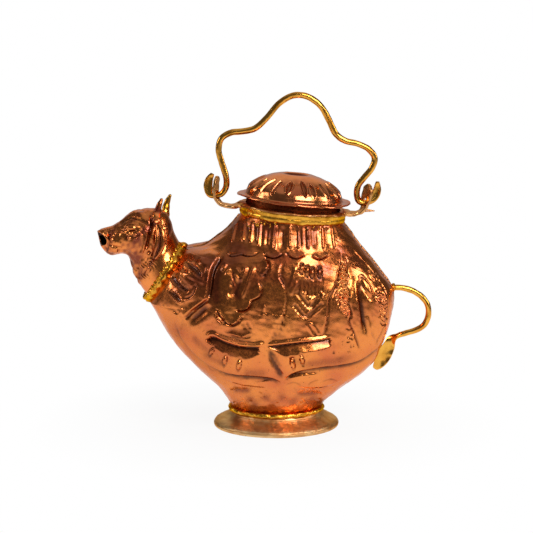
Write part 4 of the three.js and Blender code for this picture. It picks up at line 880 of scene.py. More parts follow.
def chasedHead():
    # the chased work lies on the turned front; the rear half has the same in mirror image
    every, gap = 4, head["gap"]
    u, v = np.linspace(0, 1, head["columns"]), np.linspace(0, 1, head["rows"])
    plain = headSurface(u, v)
    normals = gridNormals(plain, towardsFront)
    x, z = seenFrom(turnHead(plain, v[:, None]))
    height, dark, _ = carve(x, z, headWork)
    # fine hair strokes on the throat and granular tool marks on the face
    throat = smooth(z, 8, -2) * smooth(-x, 66, 72)
    height += throat * 0.3 * np.sin(fullTurn * (x * 0.85 + z * 0.5 + ripple(plain, 9, 5, 21)) / 2.2)
    height = head["relief"] * height + 0.05 * ripple(plain, 2.2, 12, 31) + 0.14 * ripple(plain, 6, 8, 33)
    fade = smooth(-plain[..., 1], 0.4, 3.0) * smooth(1 - v, 0.0, 0.03)[:, None]
    fade = fade * smooth(v, 0.06, 0.16)[:, None]
    height = height * fade
    sheet = plain + normals * height[..., None]
    inner = (sheet - head["wall"] * normals)[::every, ::every]
    for grid in (sheet, inner):
        grid[..., 1] = -(gap - np.minimum(grid[..., 1], 0) * (1 - gap / head["halfWidthLimit"]))
    quiet = 0.5 + 0.3 * ripple(plain, 12, 6, 41) + 0.3 * smooth(z, 14, 2) + 0.2 * ripple(plain, 3.5, 8, 43)
    # shade painted into the sunk places, and the inner walls painted fully dark as shade
    hollow = withInside(np.maximum(localHollow(height, 5), dark) * fade, inner, 1.0)
    patina = withInside(np.clip(quiet, 0, 0.95) * fade, inner, 1.0)
    rowOf = np.concatenate([np.repeat(v, len(u)), np.repeat(v[::every], inner.shape[1])])
    for name, node, side in (("spoutHeadFront", "head_front_half", 1),
                             ("spoutHeadRear", "head_rear_half", -1)):
        points, faces = rimmedShell(sheet * [1, side, 1], inner * [1, side, 1], every)
        points[:, 0] += head["muzzleSlant"] * np.maximum(-points[:, 1], 0) * smooth(rowOf, 0.8, 1)
        addPiece(name, turnHead(points, rowOf), faces, "embossed_copper", [node], patina, hollow, sharp=60)


chasedBody()
chasedHead()
print("vessel and head ready")


# seams, collar, horns and ears

seam = {"across": np.array([-0.5, -0.5, -1.35, -1.2, -0.7, 0, 0.7, 1.2, 1.35, 0.5, 0.5]),
        "rise": np.array([-1.1, -0.2, -0.15, 0.2, 0.5, 0.6, 0.5, 0.2, -0.15, -0.2, -1.1])}


def seamBead(name, node, u, low, high, count):
    # braze along the edge of the vessel: a flat key between the halves under a low, uneven bead
    v = np.linspace(low, high, count)
    edge = vesselSurface(np.array([u, u]), v)[:, 0]
    edge[:, 1] = 0
    run = np.gradient(edge, axis=0)
    out = unit(np.stack([run[:, 2], 0 * v, -run[:, 0]], axis=1))
    if (out * (edge - [0, 0, 80])).sum() < 0:
        out = -out
    lumps = 1 + 0.16 * ripple(edge, 5, 7, 51)[:, None]
    rise = seam["rise"] * np.where(seam["rise"] > 0, lumps, 1)
    across = seam["across"] * (1 + 0.1 * ripple(edge, 7, 6, 53)[:, None])
    rings = edge[:, None] + out[:, None] * rise[..., None] + np.array([0, 1, 0]) * across[..., None]
    addPiece(name, *capped(rings), "seam_braze", [node], patina=0.25, sharp=40)


seamBead("seamBeadBack", "seam_braze_back", 0.0, 0.035, 0.985, 220)
seamBead("seamBeadChest", "seam_braze_chest", 1.0, 0.035, vessel["belly"] - 0.012, 120)
seamBead("seamBeadNape", "seam_braze_nape", 1.0, vessel["collar"] + 0.035, 0.985, 80)

collar = {"teeth": 34, "toothHeight": 0.45, "waves": 21, "wave": 0.5, "columns": 340,
          "radius": [19.2, 20.9, 21.5, 22.1, 22.3, 21.9, 21.7, 22.0, 21.6, 20.9, 19.2],
          "height": [-0.3, -0.4, 0.3, 1.2, 2.0, 2.6, 3.1, 3.7, 4.5, 5.1, 5.0],
          "lumpSize": [3.2, 2.8, 1.9], "lumpPlace": [-60.6, -1.6, 119.0]}


def lumpOf(size, place, rows, columns, uneven, count, seed, gap):
    # a ball of braze, stretched and a little uneven
    ball = ballGrid(rows, columns, gap)
    return capped(ball * size * (1 + uneven * ripple(ball * 4, 3, count, seed))[..., None] + place)


def spoutCollar():
    # a ring round the spout's root: two facets with a ridge between, its head side cut into teeth
    angle = turns(collar["columns"])[None, :]
    k = np.arange(len(collar["radius"]))[:, None]
    tooth, wave = np.cos(collar["teeth"] * angle), collar["waves"] * angle
    headSide, bodySide = smooth(k, 6, 8) * smooth(10 - k, 0, 2), smooth(4 - k, 0, 2) * smooth(k, 0, 1)
    r = np.array(collar["radius"])[:, None] + headSide * collar["toothHeight"] * tooth
    r = r + bodySide * 0.25 * np.cos(wave + 1)
    h = np.array(collar["height"])[:, None] + smooth(k, 7, 9) * (0.45 * tooth + 0.3 * np.sin(3 * angle))
    h = h - bodySide * collar["wave"] * np.cos(wave)
    low, high = (np.insert(vessel[key], 1, 0) for key in ("low", "high"))
    toHigh = unit(high - low)
    axis = np.cross(toHigh, [0, 1, 0])
    axis = axis if axis[0] < 0 else -axis
    middle = (low + high) / 2
    # the upper half is spread wider by the braze than the lower
    wide = 1 + 0.35 * smooth(np.cos(angle), 0.1, 0.9)
    ring = (middle + axis * ((h - 2.4) * wide + 2.4)[..., None] + toHigh * (r * np.cos(angle))[..., None]
            + np.array([0, 1, 0]) * (r * np.sin(angle))[..., None])
    ring = ring + 0.12 * ripple(ring, 2.4, 9, 61)[..., None] * (ring - middle) / 22
    lump = lumpOf(collar["lumpSize"], collar["lumpPlace"], 18, 30, 0.06, 6, 63, 0.02)
    points, faces = merged([(ring, [gridQuads(*ring.shape[:2], closedRows=True, closedColumns=True)]), lump])
    addPiece("spoutCollar", points, faces, "braze_brass", ["spout_collar"],
             patches(points, 0.3, 0.3, 7, 6, 65), sharp=45)


def rod(path, steps, sides, section, twist=None):
    # a closed section carried along a line: its first measure lies in the middle plane, its second across it
    centres, length = centripetal(path, steps)
    t = np.linspace(0, 1, steps)[:, None]
    a, b = section(t, turns(sides)[None, :], length)
    if twist is not None:
        turn = twist(t)
        a, b = a * np.cos(turn) + b * np.sin(turn), b * np.cos(turn) - a * np.sin(turn)
    forward = unit(np.gradient(centres, axis=0))
    across = unit(np.cross([0.0, 1.0, 0.0], forward))
    along = np.cross(forward, across)
    return centres[:, None] + across[:, None] * a[..., None] + along[:, None] * b[..., None]


horn = {"path": [[-79.4, 7.6, 132.5], [-78.4, 9.2, 139], [-76.9, 10.2, 145.2], [-74.6, 9.8, 150.6]],
        "tip": 0.8, "root": 3.7, "lean": 7.0, "steps": 60, "sides": 28}
ear = {"path": [[-77.5, 16.2, 134.5], [-76.6, 18.6, 128.5], [-77.4, 19.8, 120.5], [-80.6, 19.2, 113.2]],
       "steps": 90, "sides": 48, "groove": 1.25}


def hornSection(t, angle, length):
    r = horn["tip"] + (horn["root"] - horn["tip"]) * (1 - t) ** 0.8
    r = r * np.where(t > 0.96, np.sqrt(np.clip(1 - ((t - 0.96) / 0.045) ** 2, 0.05, 1)), 1)
    r = r * (1 + 0.05 * np.sin(3 * angle + 5 * t) + 0.04 * np.sin(26 * t))
    return r * np.cos(angle), 0.94 * r * np.sin(angle)


def horns():
    t = np.repeat(np.linspace(0, 1, horn["steps"]), horn["sides"])
    worn = np.append(bell(t, 0.62, 0.13) * 0.9 + 0.25, [0.3, 0.6])
    for name, node, slot, side, lean in (("hornFront", "horn_front", "embossed_copper", -1, 0),
                                         ("hornRear", "horn_rear", "rod_brass", 1, horn["lean"])):
        path = turnHead(np.array(horn["path"]) * [1, side, 1] + [lean, 0, 0])
        rings = rod(path, horn["steps"], horn["sides"], hornSection)
        addPiece(name, *capped(rings), slot, [node], worn, sharp=60)


def ears():
    # a narrow hanging leaf with a rolled rim and a deep groove down its outer face
    angles = np.tile(turns(ear["sides"]), ear["steps"])
    for name, node, side in (("earFront", "ear_front", -1), ("earRear", "ear_rear", 1)):
        def section(t, angle, length):
            swell = np.sin(np.pi * (0.1 + 0.8 * t))
            outer = np.clip(side * np.sin(angle), 0, 1)
            groove = bell(np.cos(angle), 0.05, 0.34) * smooth(t, 0.05, 0.25) * smooth(1 - t, 0.02, 0.2)
            b = (0.45 + 1.05 * swell) * np.sin(angle) - side * outer * ear["groove"] * groove
            return (0.6 + 2.9 * swell) * np.cos(angle), b

        path = turnHead(np.array(ear["path"]) * [1, side, 1])
        # shade painted into the groove down the outer face, over a general tarnish
        dark = np.append(bell(np.cos(angles), 0.05, 0.34) * (side * np.sin(angles) > 0), [0.5, 0.5])
        addPiece(name, *capped(rod(path, ear["steps"], ear["sides"], section)), "embossed_copper", [node],
                 0.35 + 0.5 * dark, dark * 0.8, sharp=60)


spoutCollar()
horns()
ears()
print("collar, horns and ears ready")


# neck, rim and lid, in the tilted frame of the neck

neck = {"centre": np.array([10.2, 0.0, 138.0]), "tilt": math.radians(5.3), "columns": 420, "tubeColumns": 240,
        "band": [[30.9, -0.9], [32.8, -1.1], [34.0, -0.2], [34.5, 1.2], [34.3, 2.3], [34.7, 3.5], [34.8, 4.6],
                 [34.2, 5.3], [30.9, 5.3]],
        "mouth": [[29.4, 0.6], [30.6, 0.6], [30.65, 3], [30.6, 7], [30.65, 10.2], [30.4, 10.6], [29.5, 10.6],
                  [29.4, 10]],
        "skirt": [[27.7, 3.0], [28.6, 3.0], [28.9, 3.4], [28.9, 7], [28.9, 10.6], [27.7, 10.6]],
        # drops of braze below the band: how many, from and to which x, height of the highest, how far they fell
        "drops": [(26, -13, 2, 29.2, 2.6), (5, 2, 10, 28.0, 2.0), (12, 25, 37, 26.8, 2.4)],
        "dropSize": (0.25, 0.6)}


def fromNeck(points):
    points = np.asarray(points, float)
    c, s = math.cos(neck["tilt"]), math.sin(neck["tilt"])
    x, y, z = points[..., 0], points[..., 1], points[..., 2]
    return np.stack([x * c + z * s, y, z * c - x * s], axis=-1) + neck["centre"]


def heightOnNeck(x, z):
    c, s = math.cos(neck["tilt"]), math.sin(neck["tilt"])
    return (x - neck["centre"][0]) * s + (z - neck["centre"][2]) * c


def lathe(profile, columns):
    # a closed profile of radius and height turned about the upright axis
    r, z = np.asarray(profile, float).T[..., None]
    angle = turns(columns)
    return np.stack([r * np.cos(angle), r * np.sin(angle), z + 0 * angle], axis=-1)


def radiusOf(grid):
    return np.hypot(grid[..., 0], grid[..., 1])


def widen(grid, amount, radius):
    # moves points outwards by that many millimetres where the grid has about that radius
    grid[..., :2] *= 1 + (amount / radius)[..., None]


def roundRipple(grid, size, count, seed):
    # unevenness that is the same at every height
    return ripple(grid * [1, 1, 0], size, count, seed)


def neckBand():
    # the braze that joins neck and rim: a rounded band with a soft groove and run lumps
    grid = lathe(curve(neck["band"], 34), neck["columns"])
    outer = smooth(radiusOf(grid), 31.5, 33.2)
    lump = 0.12 * ripple(grid, 6, 9, 71) + 0.05 * ripple(grid, 1.9, 12, 73)
    widen(grid, outer * np.clip(lump, -0.6, 0.5), 34)
    runs = np.abs(0.55 * roundRipple(grid[:1], 9, 8, 75))
    grid[..., 2] -= outer * smooth(2.2 - grid[..., 2], 0, 2) * runs
    patina = patches(grid, 0.25, 0.35, 8, 7, 77)
    addRing("neckBand", fromNeck(grid), "braze_brass", ["neck_band"], patina=patina)


def spatter():
    # beads of braze that dripped below the band and froze on the copper
    rng = np.random.default_rng(19)
    sheet = vesselSurface(np.linspace(0.1, 0.9, 240), np.linspace(0.86, 0.995, 90))
    normals = gridNormals(sheet, towardsFront)
    sx, sz = seenFrom(sheet)
    places = [(rng.uniform(west, east), top - abs(rng.normal()) * fall)
              for count, west, east, top, fall in neck["drops"] for _ in range(count)]
    ball = ballGrid(6, 9, 0.15)
    parts = []
    for x, z in places:
        k = np.unravel_index(np.argmin((sx - x) ** 2 + (sz - z) ** 2), sx.shape)
        size = rng.uniform(*neck["dropSize"])
        parts.append(capped(sheet[k] + normals[k] * 0.1 * size + ball * size * rng.uniform(0.8, 1.25, 3)))
    addPiece("brazeSpatter", *merged(parts), "braze_brass", patina=0.2, sharp=80)


rim = {"low": 5.4, "high": 6.6, "strapWidth": 11.0, "strapThickness": 1.9, "holeRadius": 3.3, "bevel": 0.35,
       "profile": [[30.9, 5.4], [33.2, 5.35], [34.7, 5.2], [35.3, 5.1], [35.7, 5.4], [35.7, 5.9],
                   [35.3, 6.35], [34.6, 6.6], [33.2, 6.6], [30.9, 6.6]],
       "left": [[-32.3, -0.3], [-34.8, -1.4], [-37.4, -2.9], [-40.5, -3.5], [-44.0, -3.2], [-47.4, -1.9],
                [-50.0, 1.3], [-50.7, 6], [-50.8, 10.5], [-50.4, 15.3]],
       "right": [[32.3, 0.1], [35.4, -0.4], [38, -1], [41.5, -0.4], [43.9, 0.8], [45.6, 3], [46.1, 6.8],
                 [46.9, 12.5], [47.6, 19]],
       "leftHole": (-39.4, 151.4), "rightHole": (56.9, 146.5), "leftTurn": 0.2, "rightTurn": -0.42}


def earStrap(points, hole, turn):
    # the middle surface of a strap bent up into a round-topped ear, pierced; s runs along the bend, y across
    middle = (rim["low"] + rim["high"]) / 2
    run, length = centripetal([[x, 0, middle + rise] for x, rise in points], 200)
    s = np.linspace(0, length, 200)
    half = rim["strapWidth"] / 2
    bent = s > 0.3 * length
    holeS = s[bent][np.argmin(np.abs(run[bent, 2] - heightOnNeck(*hole)))]
    columns = 23

    def place(sValues, yValues):
        x, z = np.interp(sValues, s, run[:, 0]), np.interp(sValues, s, run[:, 2])
        turned = turn * yValues * smooth(sValues, 0.3 * length, 0.7 * length)
        return np.stack([x + turned, yValues, z], axis=-1)

    rows = np.linspace(0, holeS - half, 26)
    # the strap leaves the ring with wide roots
    roots = 1 + 1.15 * smooth(10.5 - rows, 0, 10.5)
    across = np.linspace(-half, half, columns)
    strip = place(np.repeat(rows[:, None], columns, 1), across[None, :] * roots[:, None])
    strip[..., 2] -= 0.1 * np.maximum(np.abs(strip[..., 1]) - half, 0)
    # round the hole: rays to the outline, which is square below and round above
    shoulder = max(length - half - holeS, 0.1)
    side = np.linspace(-half, shoulder, 9)
    arc = np.linspace(0, np.pi, 25)[1:]
    outline = np.vstack([
        np.stack([across, np.full(columns, -half)], axis=1), np.stack([np.full(8, half), side[1:]], axis=1),
        np.stack([half * np.cos(arc), shoulder + half * np.sin(arc)], axis=1),
        np.stack([np.full(7, -half), np.linspace(shoulder, -half, 9)[1:-1]], axis=1)])
    rays = unit(outline) * rim["holeRadius"]
    disc = rays + (outline - rays) * np.linspace(0, 1, 7)[:, None, None]
    top = place(holeS + disc[..., 1], disc[..., 0])
    return [(strip, [gridQuads(*strip.shape[:2])]),
            (top, [gridQuads(*top.shape[:2], closedColumns=True)[:, ::-1]])]


def rimPlate():
    # a sheared ring of sheet, turned down at its edge by the mallet, more at the sides
    grid = lathe(curve(rim["profile"], 40), neck["columns"])
    edge = smooth(radiusOf(grid), 33.4, 35.4)
    sides = 0.5 * np.abs(np.cos(turns(neck["columns"]))) ** 3
    grid[..., 2] -= edge * (0.1 + sides + 0.3 * roundRipple(grid, 16, 6, 81))
    widen(grid, edge * 0.22 * roundRipple(grid, 6, 8, 83), 35)
    patina = patches(grid, 0.5, 0.4, 8, 7, 85)
    addRing("rimPlate", fromNeck(grid), "plate_copper", ["rim_plate"], patina=patina)
    for name, side in (("earLeft", "left"), ("earRight", "right")):
        points, faces = merged(earStrap(rim[side], rim[side + "Hole"], rim[side + "Turn"]), closed=False)
        points[:, 0] += 0.18 * ripple(points, 5, 7, 87)
        points[:, 2] += 0.12 * ripple(points, 4, 7, 89)
        tab = addPiece(name, fromNeck(points), faces, "plate_copper", (), patches(points, 0.2, 0.35, 5, 6, 91),
                       sharp=70)
        tab.modifiers.new("weld", "WELD").merge_threshold = 0.00002
        wall = tab.modifiers.new("wall", "SOLIDIFY")
        wall.thickness, wall.offset = rim["strapThickness"] * millimetre, 0.0
        edges = tab.modifiers.new("edge", "BEVEL")
        edges.width, edges.segments, edges.limit_method = rim["bevel"] * millimetre, 2, "ANGLE"


def sliver():
    # a forked strip of sheet left by the shears, curling out under the right ear
    parts = []
    for x, z in ((56.4, 143.0), (55.6, 141.1)):
        path = [[x, -2.5, z], [59.4, -2.5, (z + 141.4) / 2], [63.4, -2.5, 141.4]]
        parts.append(capped(rod(path, 24, 12, lambda t, angle, length: ((0.55 - 0.2 * t) * np.cos(angle),
                                                                        0.45 * np.sin(angle)))))
    addPiece("shearSliver", *merged(parts), "plate_copper", patina=0.3)


def darkRings():
    # the mouth's collar and the lid's skirt: plain strips bent round, in dark brown copper
    grid = lathe(neck["mouth"], neck["tubeColumns"])
    widen(grid, 0.05 * ripple(grid, 14, 6, 93), 30)
    addRing("mouthCollar", fromNeck(grid), "dark_copper", ["mouth_collar"])
    grid = lathe(neck["skirt"], neck["tubeColumns"])
    addRing("lidSkirt", fromNeck(grid), "dark_copper", ["lid_skirt"], body="lid")


lid = {"petals": 20, "petalRadius": 26.2, "petalLength": 7.6, "petalWidth": 1.6, "petalDepth": 0.95,
       "petalLip": 0.42, "columns": 560, "outerRows": 96, "undersideShadeRows": 27,
       "seat": [[29.8, 10.9], [33.0, 10.85]],
       "flange": [[36.4, 10.9], [36.9, 11.3], [36.7, 11.9], [36.0, 12.1], [34.5, 11.95], [32.6, 11.85]],
       "outer": [[32.2, 11.9], [31.5, 12.6], [31.2, 13.7], [30.9, 14.9], [29.5, 17.7], [26.2, 20.8],
                 [21.6, 23.5], [15.9, 25.9], [11.4, 27.1], [9.2, 27.3]],
       "dimple": [[8.4, 27.1], [7.4, 26.6], [6.2, 25.9], [5.2, 25.3], [4.6, 24.9]],
       "inner": [[4.5, 23.9], [9.4, 25.0], [15, 24.0], [20.3, 22.0], [26.2, 18.1], [28.8, 14], [29.7, 10.9]]}


def lidPetals(profile, face):
    # lens-shaped dents set round the shoulder, each with a lip pushed up along its sides and shade painted
    # inside it
    angle, r, onShoulder = turns(lid["columns"]), profile[:, 0], np.flatnonzero(face)
    run = np.concatenate([[0], np.cumsum(np.linalg.norm(np.diff(profile, axis=0), axis=1))])
    start = onShoulder[np.argmin(np.abs(r[onShoulder] - lid["petalRadius"]))]
    rng = np.random.default_rng(23)
    push, dark = np.zeros((2, len(r), len(angle)))
    for k in range(lid["petals"]):
        centre = fullTurn * (k + 0.5) / lid["petals"] + rng.normal() * 0.03
        lean, shift = rng.normal() * 0.12, rng.normal() * 0.6
        off = (angle[None, :] - centre + np.pi) % fullTurn - np.pi
        along = run[:, None] - run[start] - shift
        across = off * r[:, None] + lean * along
        long, wide = lid["petalLength"] * rng.uniform(0.9, 1.1), lid["petalWidth"] * rng.uniform(0.85, 1.15)
        room = np.clip(1 - (along / long) ** 2, 0, 1)
        lens = across / np.maximum(wide * room, 0.3)
        inside = smooth(1.1 - np.abs(lens), 0, 0.8) * smooth(room, 0.0, 0.35)
        lip = bell(np.abs(lens), 1.3, 0.4) * smooth(room, 0.0, 0.5)
        crease = bell(across, 0, 0.35) * room
        depth = lid["petalDepth"] * rng.uniform(0.8, 1.1)
        push += face[:, None] * (lip * lid["petalLip"] - inside * depth + 0.3 * crease)
        dark = np.maximum(dark, face[:, None] * inside * 0.45)
    return push, dark


def lidDome():
    # a lathe form with petals, broad flats between them, and a wavy beaten flange
    parts = [lid["seat"], curve(lid["flange"], 22), curve(lid["outer"], lid["outerRows"]), lid["dimple"],
             curve(lid["inner"], 24)[:-1]]
    profile = np.vstack(parts)
    face = np.concatenate([np.full(len(part), float(k == 2)) for k, part in enumerate(parts)])
    grid = lathe(profile, lid["columns"])
    push, dark = lidPetals(profile, face)
    push += face[:, None] * (0.1 * ripple(grid, 13, 8, 95) + 0.025 * ripple(grid, 4, 8, 96))
    grid = grid + gridNormals(grid, upwards, 60, closedColumns=True) * push[..., None]
    edge = smooth(radiusOf(grid), 31, 36.5) * (grid[..., 2] < 13)
    angle = turns(lid["columns"])
    wave = 0.32 * np.sin(2 * angle + 0.6) + 0.22 * np.sin(5 * angle + 2) + 0.12 * np.sin(11 * angle)
    grid[..., 2] += edge * (wave + 0.12 * roundRipple(grid, 5, 7, 97))
    widen(grid, edge * (0.12 * roundRipple(grid, 11, 6, 98) - 0.1), 36)
    # painted shade in the dents, and darker metal towards the flange
    patina = np.clip(dark + 0.25 * face[:, None] * smooth(18 - profile[:, 1:], 0, 6), 0, 1)
    # the underside, seen through the hole in the crown, is painted dark as shade
    patina[-lid["undersideShadeRows"]:] = 1.0
    addRing("lidDome", fromNeck(grid), "lid_copper", ["lid_dome"], 50, patina=patina,
            hollow=localHollow(push, 5), body="lid")


neckBand()
spatter()
rimPlate()
sliver()
darkRings()
lidDome()
print("neck, rim and lid ready")


# bail, side handle and foot

bail = {"path": [[-41.2, 165.4], [-43.5, 161], [-44.1, 155.5], [-42.9, 151.7], [-39.4, 151.2], [-35.4, 152.2],
                 [-32.6, 156.5], [-32.5, 163], [-35.2, 172], [-37.2, 181], [-35.4, 188], [-29.5, 191.8],
                 [-21.5, 192.8], [-14, 194.6], [-6.6, 201], [2, 211], [11, 215.94], [19.5, 215.2],
                 [28, 209.4], [34, 199.6], [38.6, 190.6], [44.5, 186.6], [52.5, 184.6], [59.6, 181],
                 [63.4, 175.6], [61.6, 169], [56.6, 162.8], [52.8, 157.5], [52, 151.4], [53.6, 147.4],
                 [57.2, 146.4], [61.6, 148.4], [64.8, 153.6], [65.4, 160.2]],
        "radius": 2.0, "tip": 0.8, "leafLength": 15.0, "dish": 1.5, "steps": 900, "sides": 32}


def bailSection(t, angle, length):
    share = np.clip(np.minimum(t, 1 - t) * length / bail["leafLength"], 0, 1)
    leaf = np.sin(np.pi * (0.08 + 0.92 * share))
    r = bail["tip"] + (bail["radius"] - bail["tip"]) * share
    flats = 1 + 0.035 * np.cos(4 * angle + 9 * t) * np.cos(30 * t) + 0.03 * np.cos(3 * angle + 40 * t)
    middle = np.clip(1 - (np.cos(angle) / 0.8) ** 2, 0, 1)
    dish = bail["dish"] * leaf * middle * smooth(share, 0.0, 0.2) * (share < 1)
    b = (r + 0.5 * leaf) * np.sin(angle) * flats + np.where(np.sin(angle) < 0, dish, 0)
    return (r + 1.4 * leaf) * np.cos(angle) * flats, b


def bailHandle():
    # a hammered rod: long flats along it, and at each end a leaf dished from the front
    rings = rod([[x, 0, z] for x, z in bail["path"]], bail["steps"], bail["sides"], bailSection)
    points, faces = capped(rings + 0.05 * ripple(rings, 4, 8, 101)[..., None])
    addPiece("bailHandle", points, faces, "rod_brass", ["bail_handle"], patches(points, 0.25, 0.4, 9, 8, 103),
             body="bail", sharp=60)


handle = {"path": [[77.6, 90.8], [83, 90.4], [89.5, 88.2], [95.3, 84.1], [98.75, 78.6], [99.12, 72],
                   [96.4, 65.9], [91, 62.5], [84.6, 60.6], [79.2, 58.6], [75.2, 55.4], [72.8, 51.2],
                   [70.2, 46.4], [67.5, 41.3], [64.4, 36.7]],
          "radius": 1.9, "leafStart": 0.66, "leafEnd": 0.78, "leafHalfWidth": 5.3, "leafThickness": 0.85,
          "dish": 2.1, "twist": math.radians(98), "brazeSize": [1.5, 3.4, 2.9], "brazePlace": [76.2, 0, 90.8],
          "steps": 420, "sides": 48}


def handleSection(t, angle, length):
    share = np.clip((t - handle["leafStart"]) / (1 - handle["leafStart"]), 0, 1)
    swell = np.clip(np.sin(np.pi * share ** 1.6), 0, 1) ** 0.6
    thin = np.minimum(1, share * 4)
    half = handle["radius"] + (handle["leafThickness"] - handle["radius"]) * thin
    wide = handle["radius"] + (handle["leafHalfWidth"] - handle["radius"]) * swell - 0.9 * share
    groove = bell(angle, 1.72 * np.pi, 0.28) * (1 - thin) * 0.3
    a = (half - groove) * np.sin(angle) * (1 + 0.03 * np.sin(17 * t))
    b = (wide - groove) * np.cos(angle) * (1 + 0.04 * np.sin(23 * t + 1))
    return a + handle["dish"] * swell * np.cos(angle) ** 2, b


def sideHandle():
    # a rod with a lengthwise groove, hammered out at its lower end into a cupped leaf that faces the front;
    # a lump of braze holds its upper end, run out thin over the copper
    rings = rod([[x, 0, z] for x, z in handle["path"]], handle["steps"], handle["sides"], handleSection,
                lambda t: handle["twist"] * smooth(t, handle["leafStart"], handle["leafEnd"]))
    points, faces = capped(rings + 0.06 * ripple(rings, 4, 8, 105)[..., None])
    addPiece("sideHandle", points, faces, "rod_brass", ["side_handle"], patches(points, 0.1, 0.35, 8, 8, 107),
             sharp=60)
    lump = lumpOf(handle["brazeSize"], handle["brazePlace"], 40, 60, 0.07, 8, 109, 0.01)
    addPiece("handleBraze", *lump, "braze_brass", ["handle_top_braze"], patina=0.25, sharp=60)


foot = {"outer": [[29.8, 10.1], [30.5, 9.3], [31.5, 8.2], [32.9, 7.1], [34.8, 6.0], [37.0, 5.0], [38.9, 4.0],
                  [40.2, 3.1], [40.75, 2.3]],
        "rim": [[40.55, 2.15], [40.95, 1.75], [41.0, 1.1], [40.8, 0.4], [40.5, 0.0]],
        "inner": [[38, 0], [37.4, 1.4], [35.8, 2.8], [32.4, 3.8], [30.0, 5.2], [28.8, 7.0], [28.7, 10.1]],
        "bead": [[29.3, 10.6], [30.4, 10.3], [31.3, 10.9], [31.5, 11.8], [31.1, 12.7], [30.4, 13.1],
                 [29.3, 12.8]],
        "outerRows": 60, "rimRows": 14, "innerRows": 30, "beadRows": 22, "columns": 420, "beadColumns": 460,
        "turning": 0.035, "rimDarker": 0.35}


def footPieces():
    # a turned and dented bell with fine lathe marks, and the lumpy ring of braze over it
    outerRows, rimRows = foot["outerRows"], foot["rimRows"]
    profile = np.vstack([curve(foot["outer"], outerRows), curve(foot["rim"], rimRows),
                         curve(foot["inner"], foot["innerRows"])])
    grid = lathe(profile, foot["columns"])
    row = np.arange(len(profile))[:, None]
    out = (row < outerRows) * 1.0
    turning = foot["turning"] * np.sin(profile[:, :1] * 6.5) * out
    dents = 0.1 * ripple(grid, 12, 8, 111) + 0.04 * ripple(grid, 3.5, 9, 113)
    fade = out * smooth(row, 0, 6) * smooth(outerRows + 4 - row, 0, 8)
    grid = grid + gridNormals(grid, upwards, 40, closedColumns=True) * (fade * (turning + dents))[..., None]
    stains = np.clip(0.45 * ripple(grid * [1, 1, 0.6], 15, 7, 115), 0, 0.9) * out
    # the rim band is darker
    stains[outerRows:outerRows + rimRows] = foot["rimDarker"]
    addRing("footFlare", grid, "foot_brass", ["foot_flare"], 50, patina=stains)
    grid = lathe(curve(foot["bead"], foot["beadRows"]), foot["beadColumns"])
    outer = smooth(radiusOf(grid), 29.6, 31)
    lump = 0.2 * ripple(grid, 4.2, 10, 117) + 0.1 * ripple(grid, 1.7, 12, 119)
    widen(grid, outer * lump, 31)
    grid[..., 2] += outer * 0.22 * roundRipple(grid, 6, 8, 121)
    patina = patches(grid, 0.35, 0.35, 6, 7, 123)
    addRing("footBraze", grid, "braze_brass", ["foot_braze"], 55, patina=patina)


bailHandle()
sideHandle()
footPieces()
kept = bpy.data.objects["vessel_floor"]
kept.data.materials.clear()
kept.data.materials.append(finishes["dark_copper"])
print("bail, handle and foot ready")


# floor, light and camera

studio = {"floorHalf": 4.0, "shadowShare": 0.09, "shadowReach": 0.16, "shadowNear": 0.05,
          "boardColour": "#E8E6E2", "boardNear": 0.3, "boardFar": 0.9, "boardDim": 0.35,
          "roomDark": 0.1, "roomTop": 0.5, "ceilingFrom": 0.7, "backWhite": 0.8, "backEdge": (0.82, 0.97),
          "backTop": (0.92, 0.7), "backFoot": (0.0, 0.4, 0.4, 1.0), "boxAim": Vector((0, 0, 0.1))}
softboxes = {
    "keyBox": {"azimuth": 30, "elevation": 35, "distance": 1.3, "width": 0.75, "height": 0.42, "radiance": 11.0},
    "rightBox": {"azimuth": 84, "elevation": 21, "distance": 1.3, "width": 0.26, "height": 0.5, "radiance": 9.0},
    "leftBox": {"azimuth": -86, "elevation": 22, "distance": 1.4, "width": 0.26, "height": 0.5, "radiance": 7.0},
}
white = (1, 1, 1, 1)


def paleFloor():
    half = studio["floorHalf"]
    mesh = bpy.data.meshes.new("floor")
    corners = [(-half, -half, 0), (half, -half, 0), (half, half, 0), (-half, half, 0)]
    mesh.from_pydata(corners, [], [(0, 1, 2, 3)])
    floor = bpy.data.objects.new("floor", mesh)
    bpy.context.scene.collection.objects.link(floor)
    # matt white board: seen it stays white, with a faint shade close to the foot; in the metal it dims away
    material, tree = newMaterial("whiteBoard")
    coords = wire(tree, "ShaderNodeTexCoord", {}, "Object")
    reach = wire(tree, "ShaderNodeVectorMath", {0: coords}, "Value", operation="LENGTH")
    near = spread(tree, reach, studio["shadowReach"], studio["shadowNear"], 0.0, studio["shadowShare"])
    path = tree.nodes.new("ShaderNodeLightPath").outputs
    seen = sums(tree, "ADD", path["Is Camera Ray"], path["Is Glossy Ray"], clamp=True)
    seen = sums(tree, "ADD", seen, path["Is Transmission Ray"], clamp=True)
    matt = wire(tree, "ShaderNodeBsdfDiffuse", {"Color": linearColour(studio["boardColour"])})
    far = spread(tree, reach, studio["boardNear"], studio["boardFar"], 1.0, studio["boardDim"])
    strength = mixNumbers(tree, path["Is Glossy Ray"], 1.0, far)
    glow = wire(tree, "ShaderNodeEmission", {"Color": white, "Strength": strength})
    bright = wire(tree, "ShaderNodeMixShader", {0: near, 1: glow, 2: matt})
    surface = wire(tree, "ShaderNodeMixShader", {0: seen, 1: matt, 2: bright})
    wire(tree, "ShaderNodeOutputMaterial", {"Surface": surface})
    floor.data.materials.append(material)


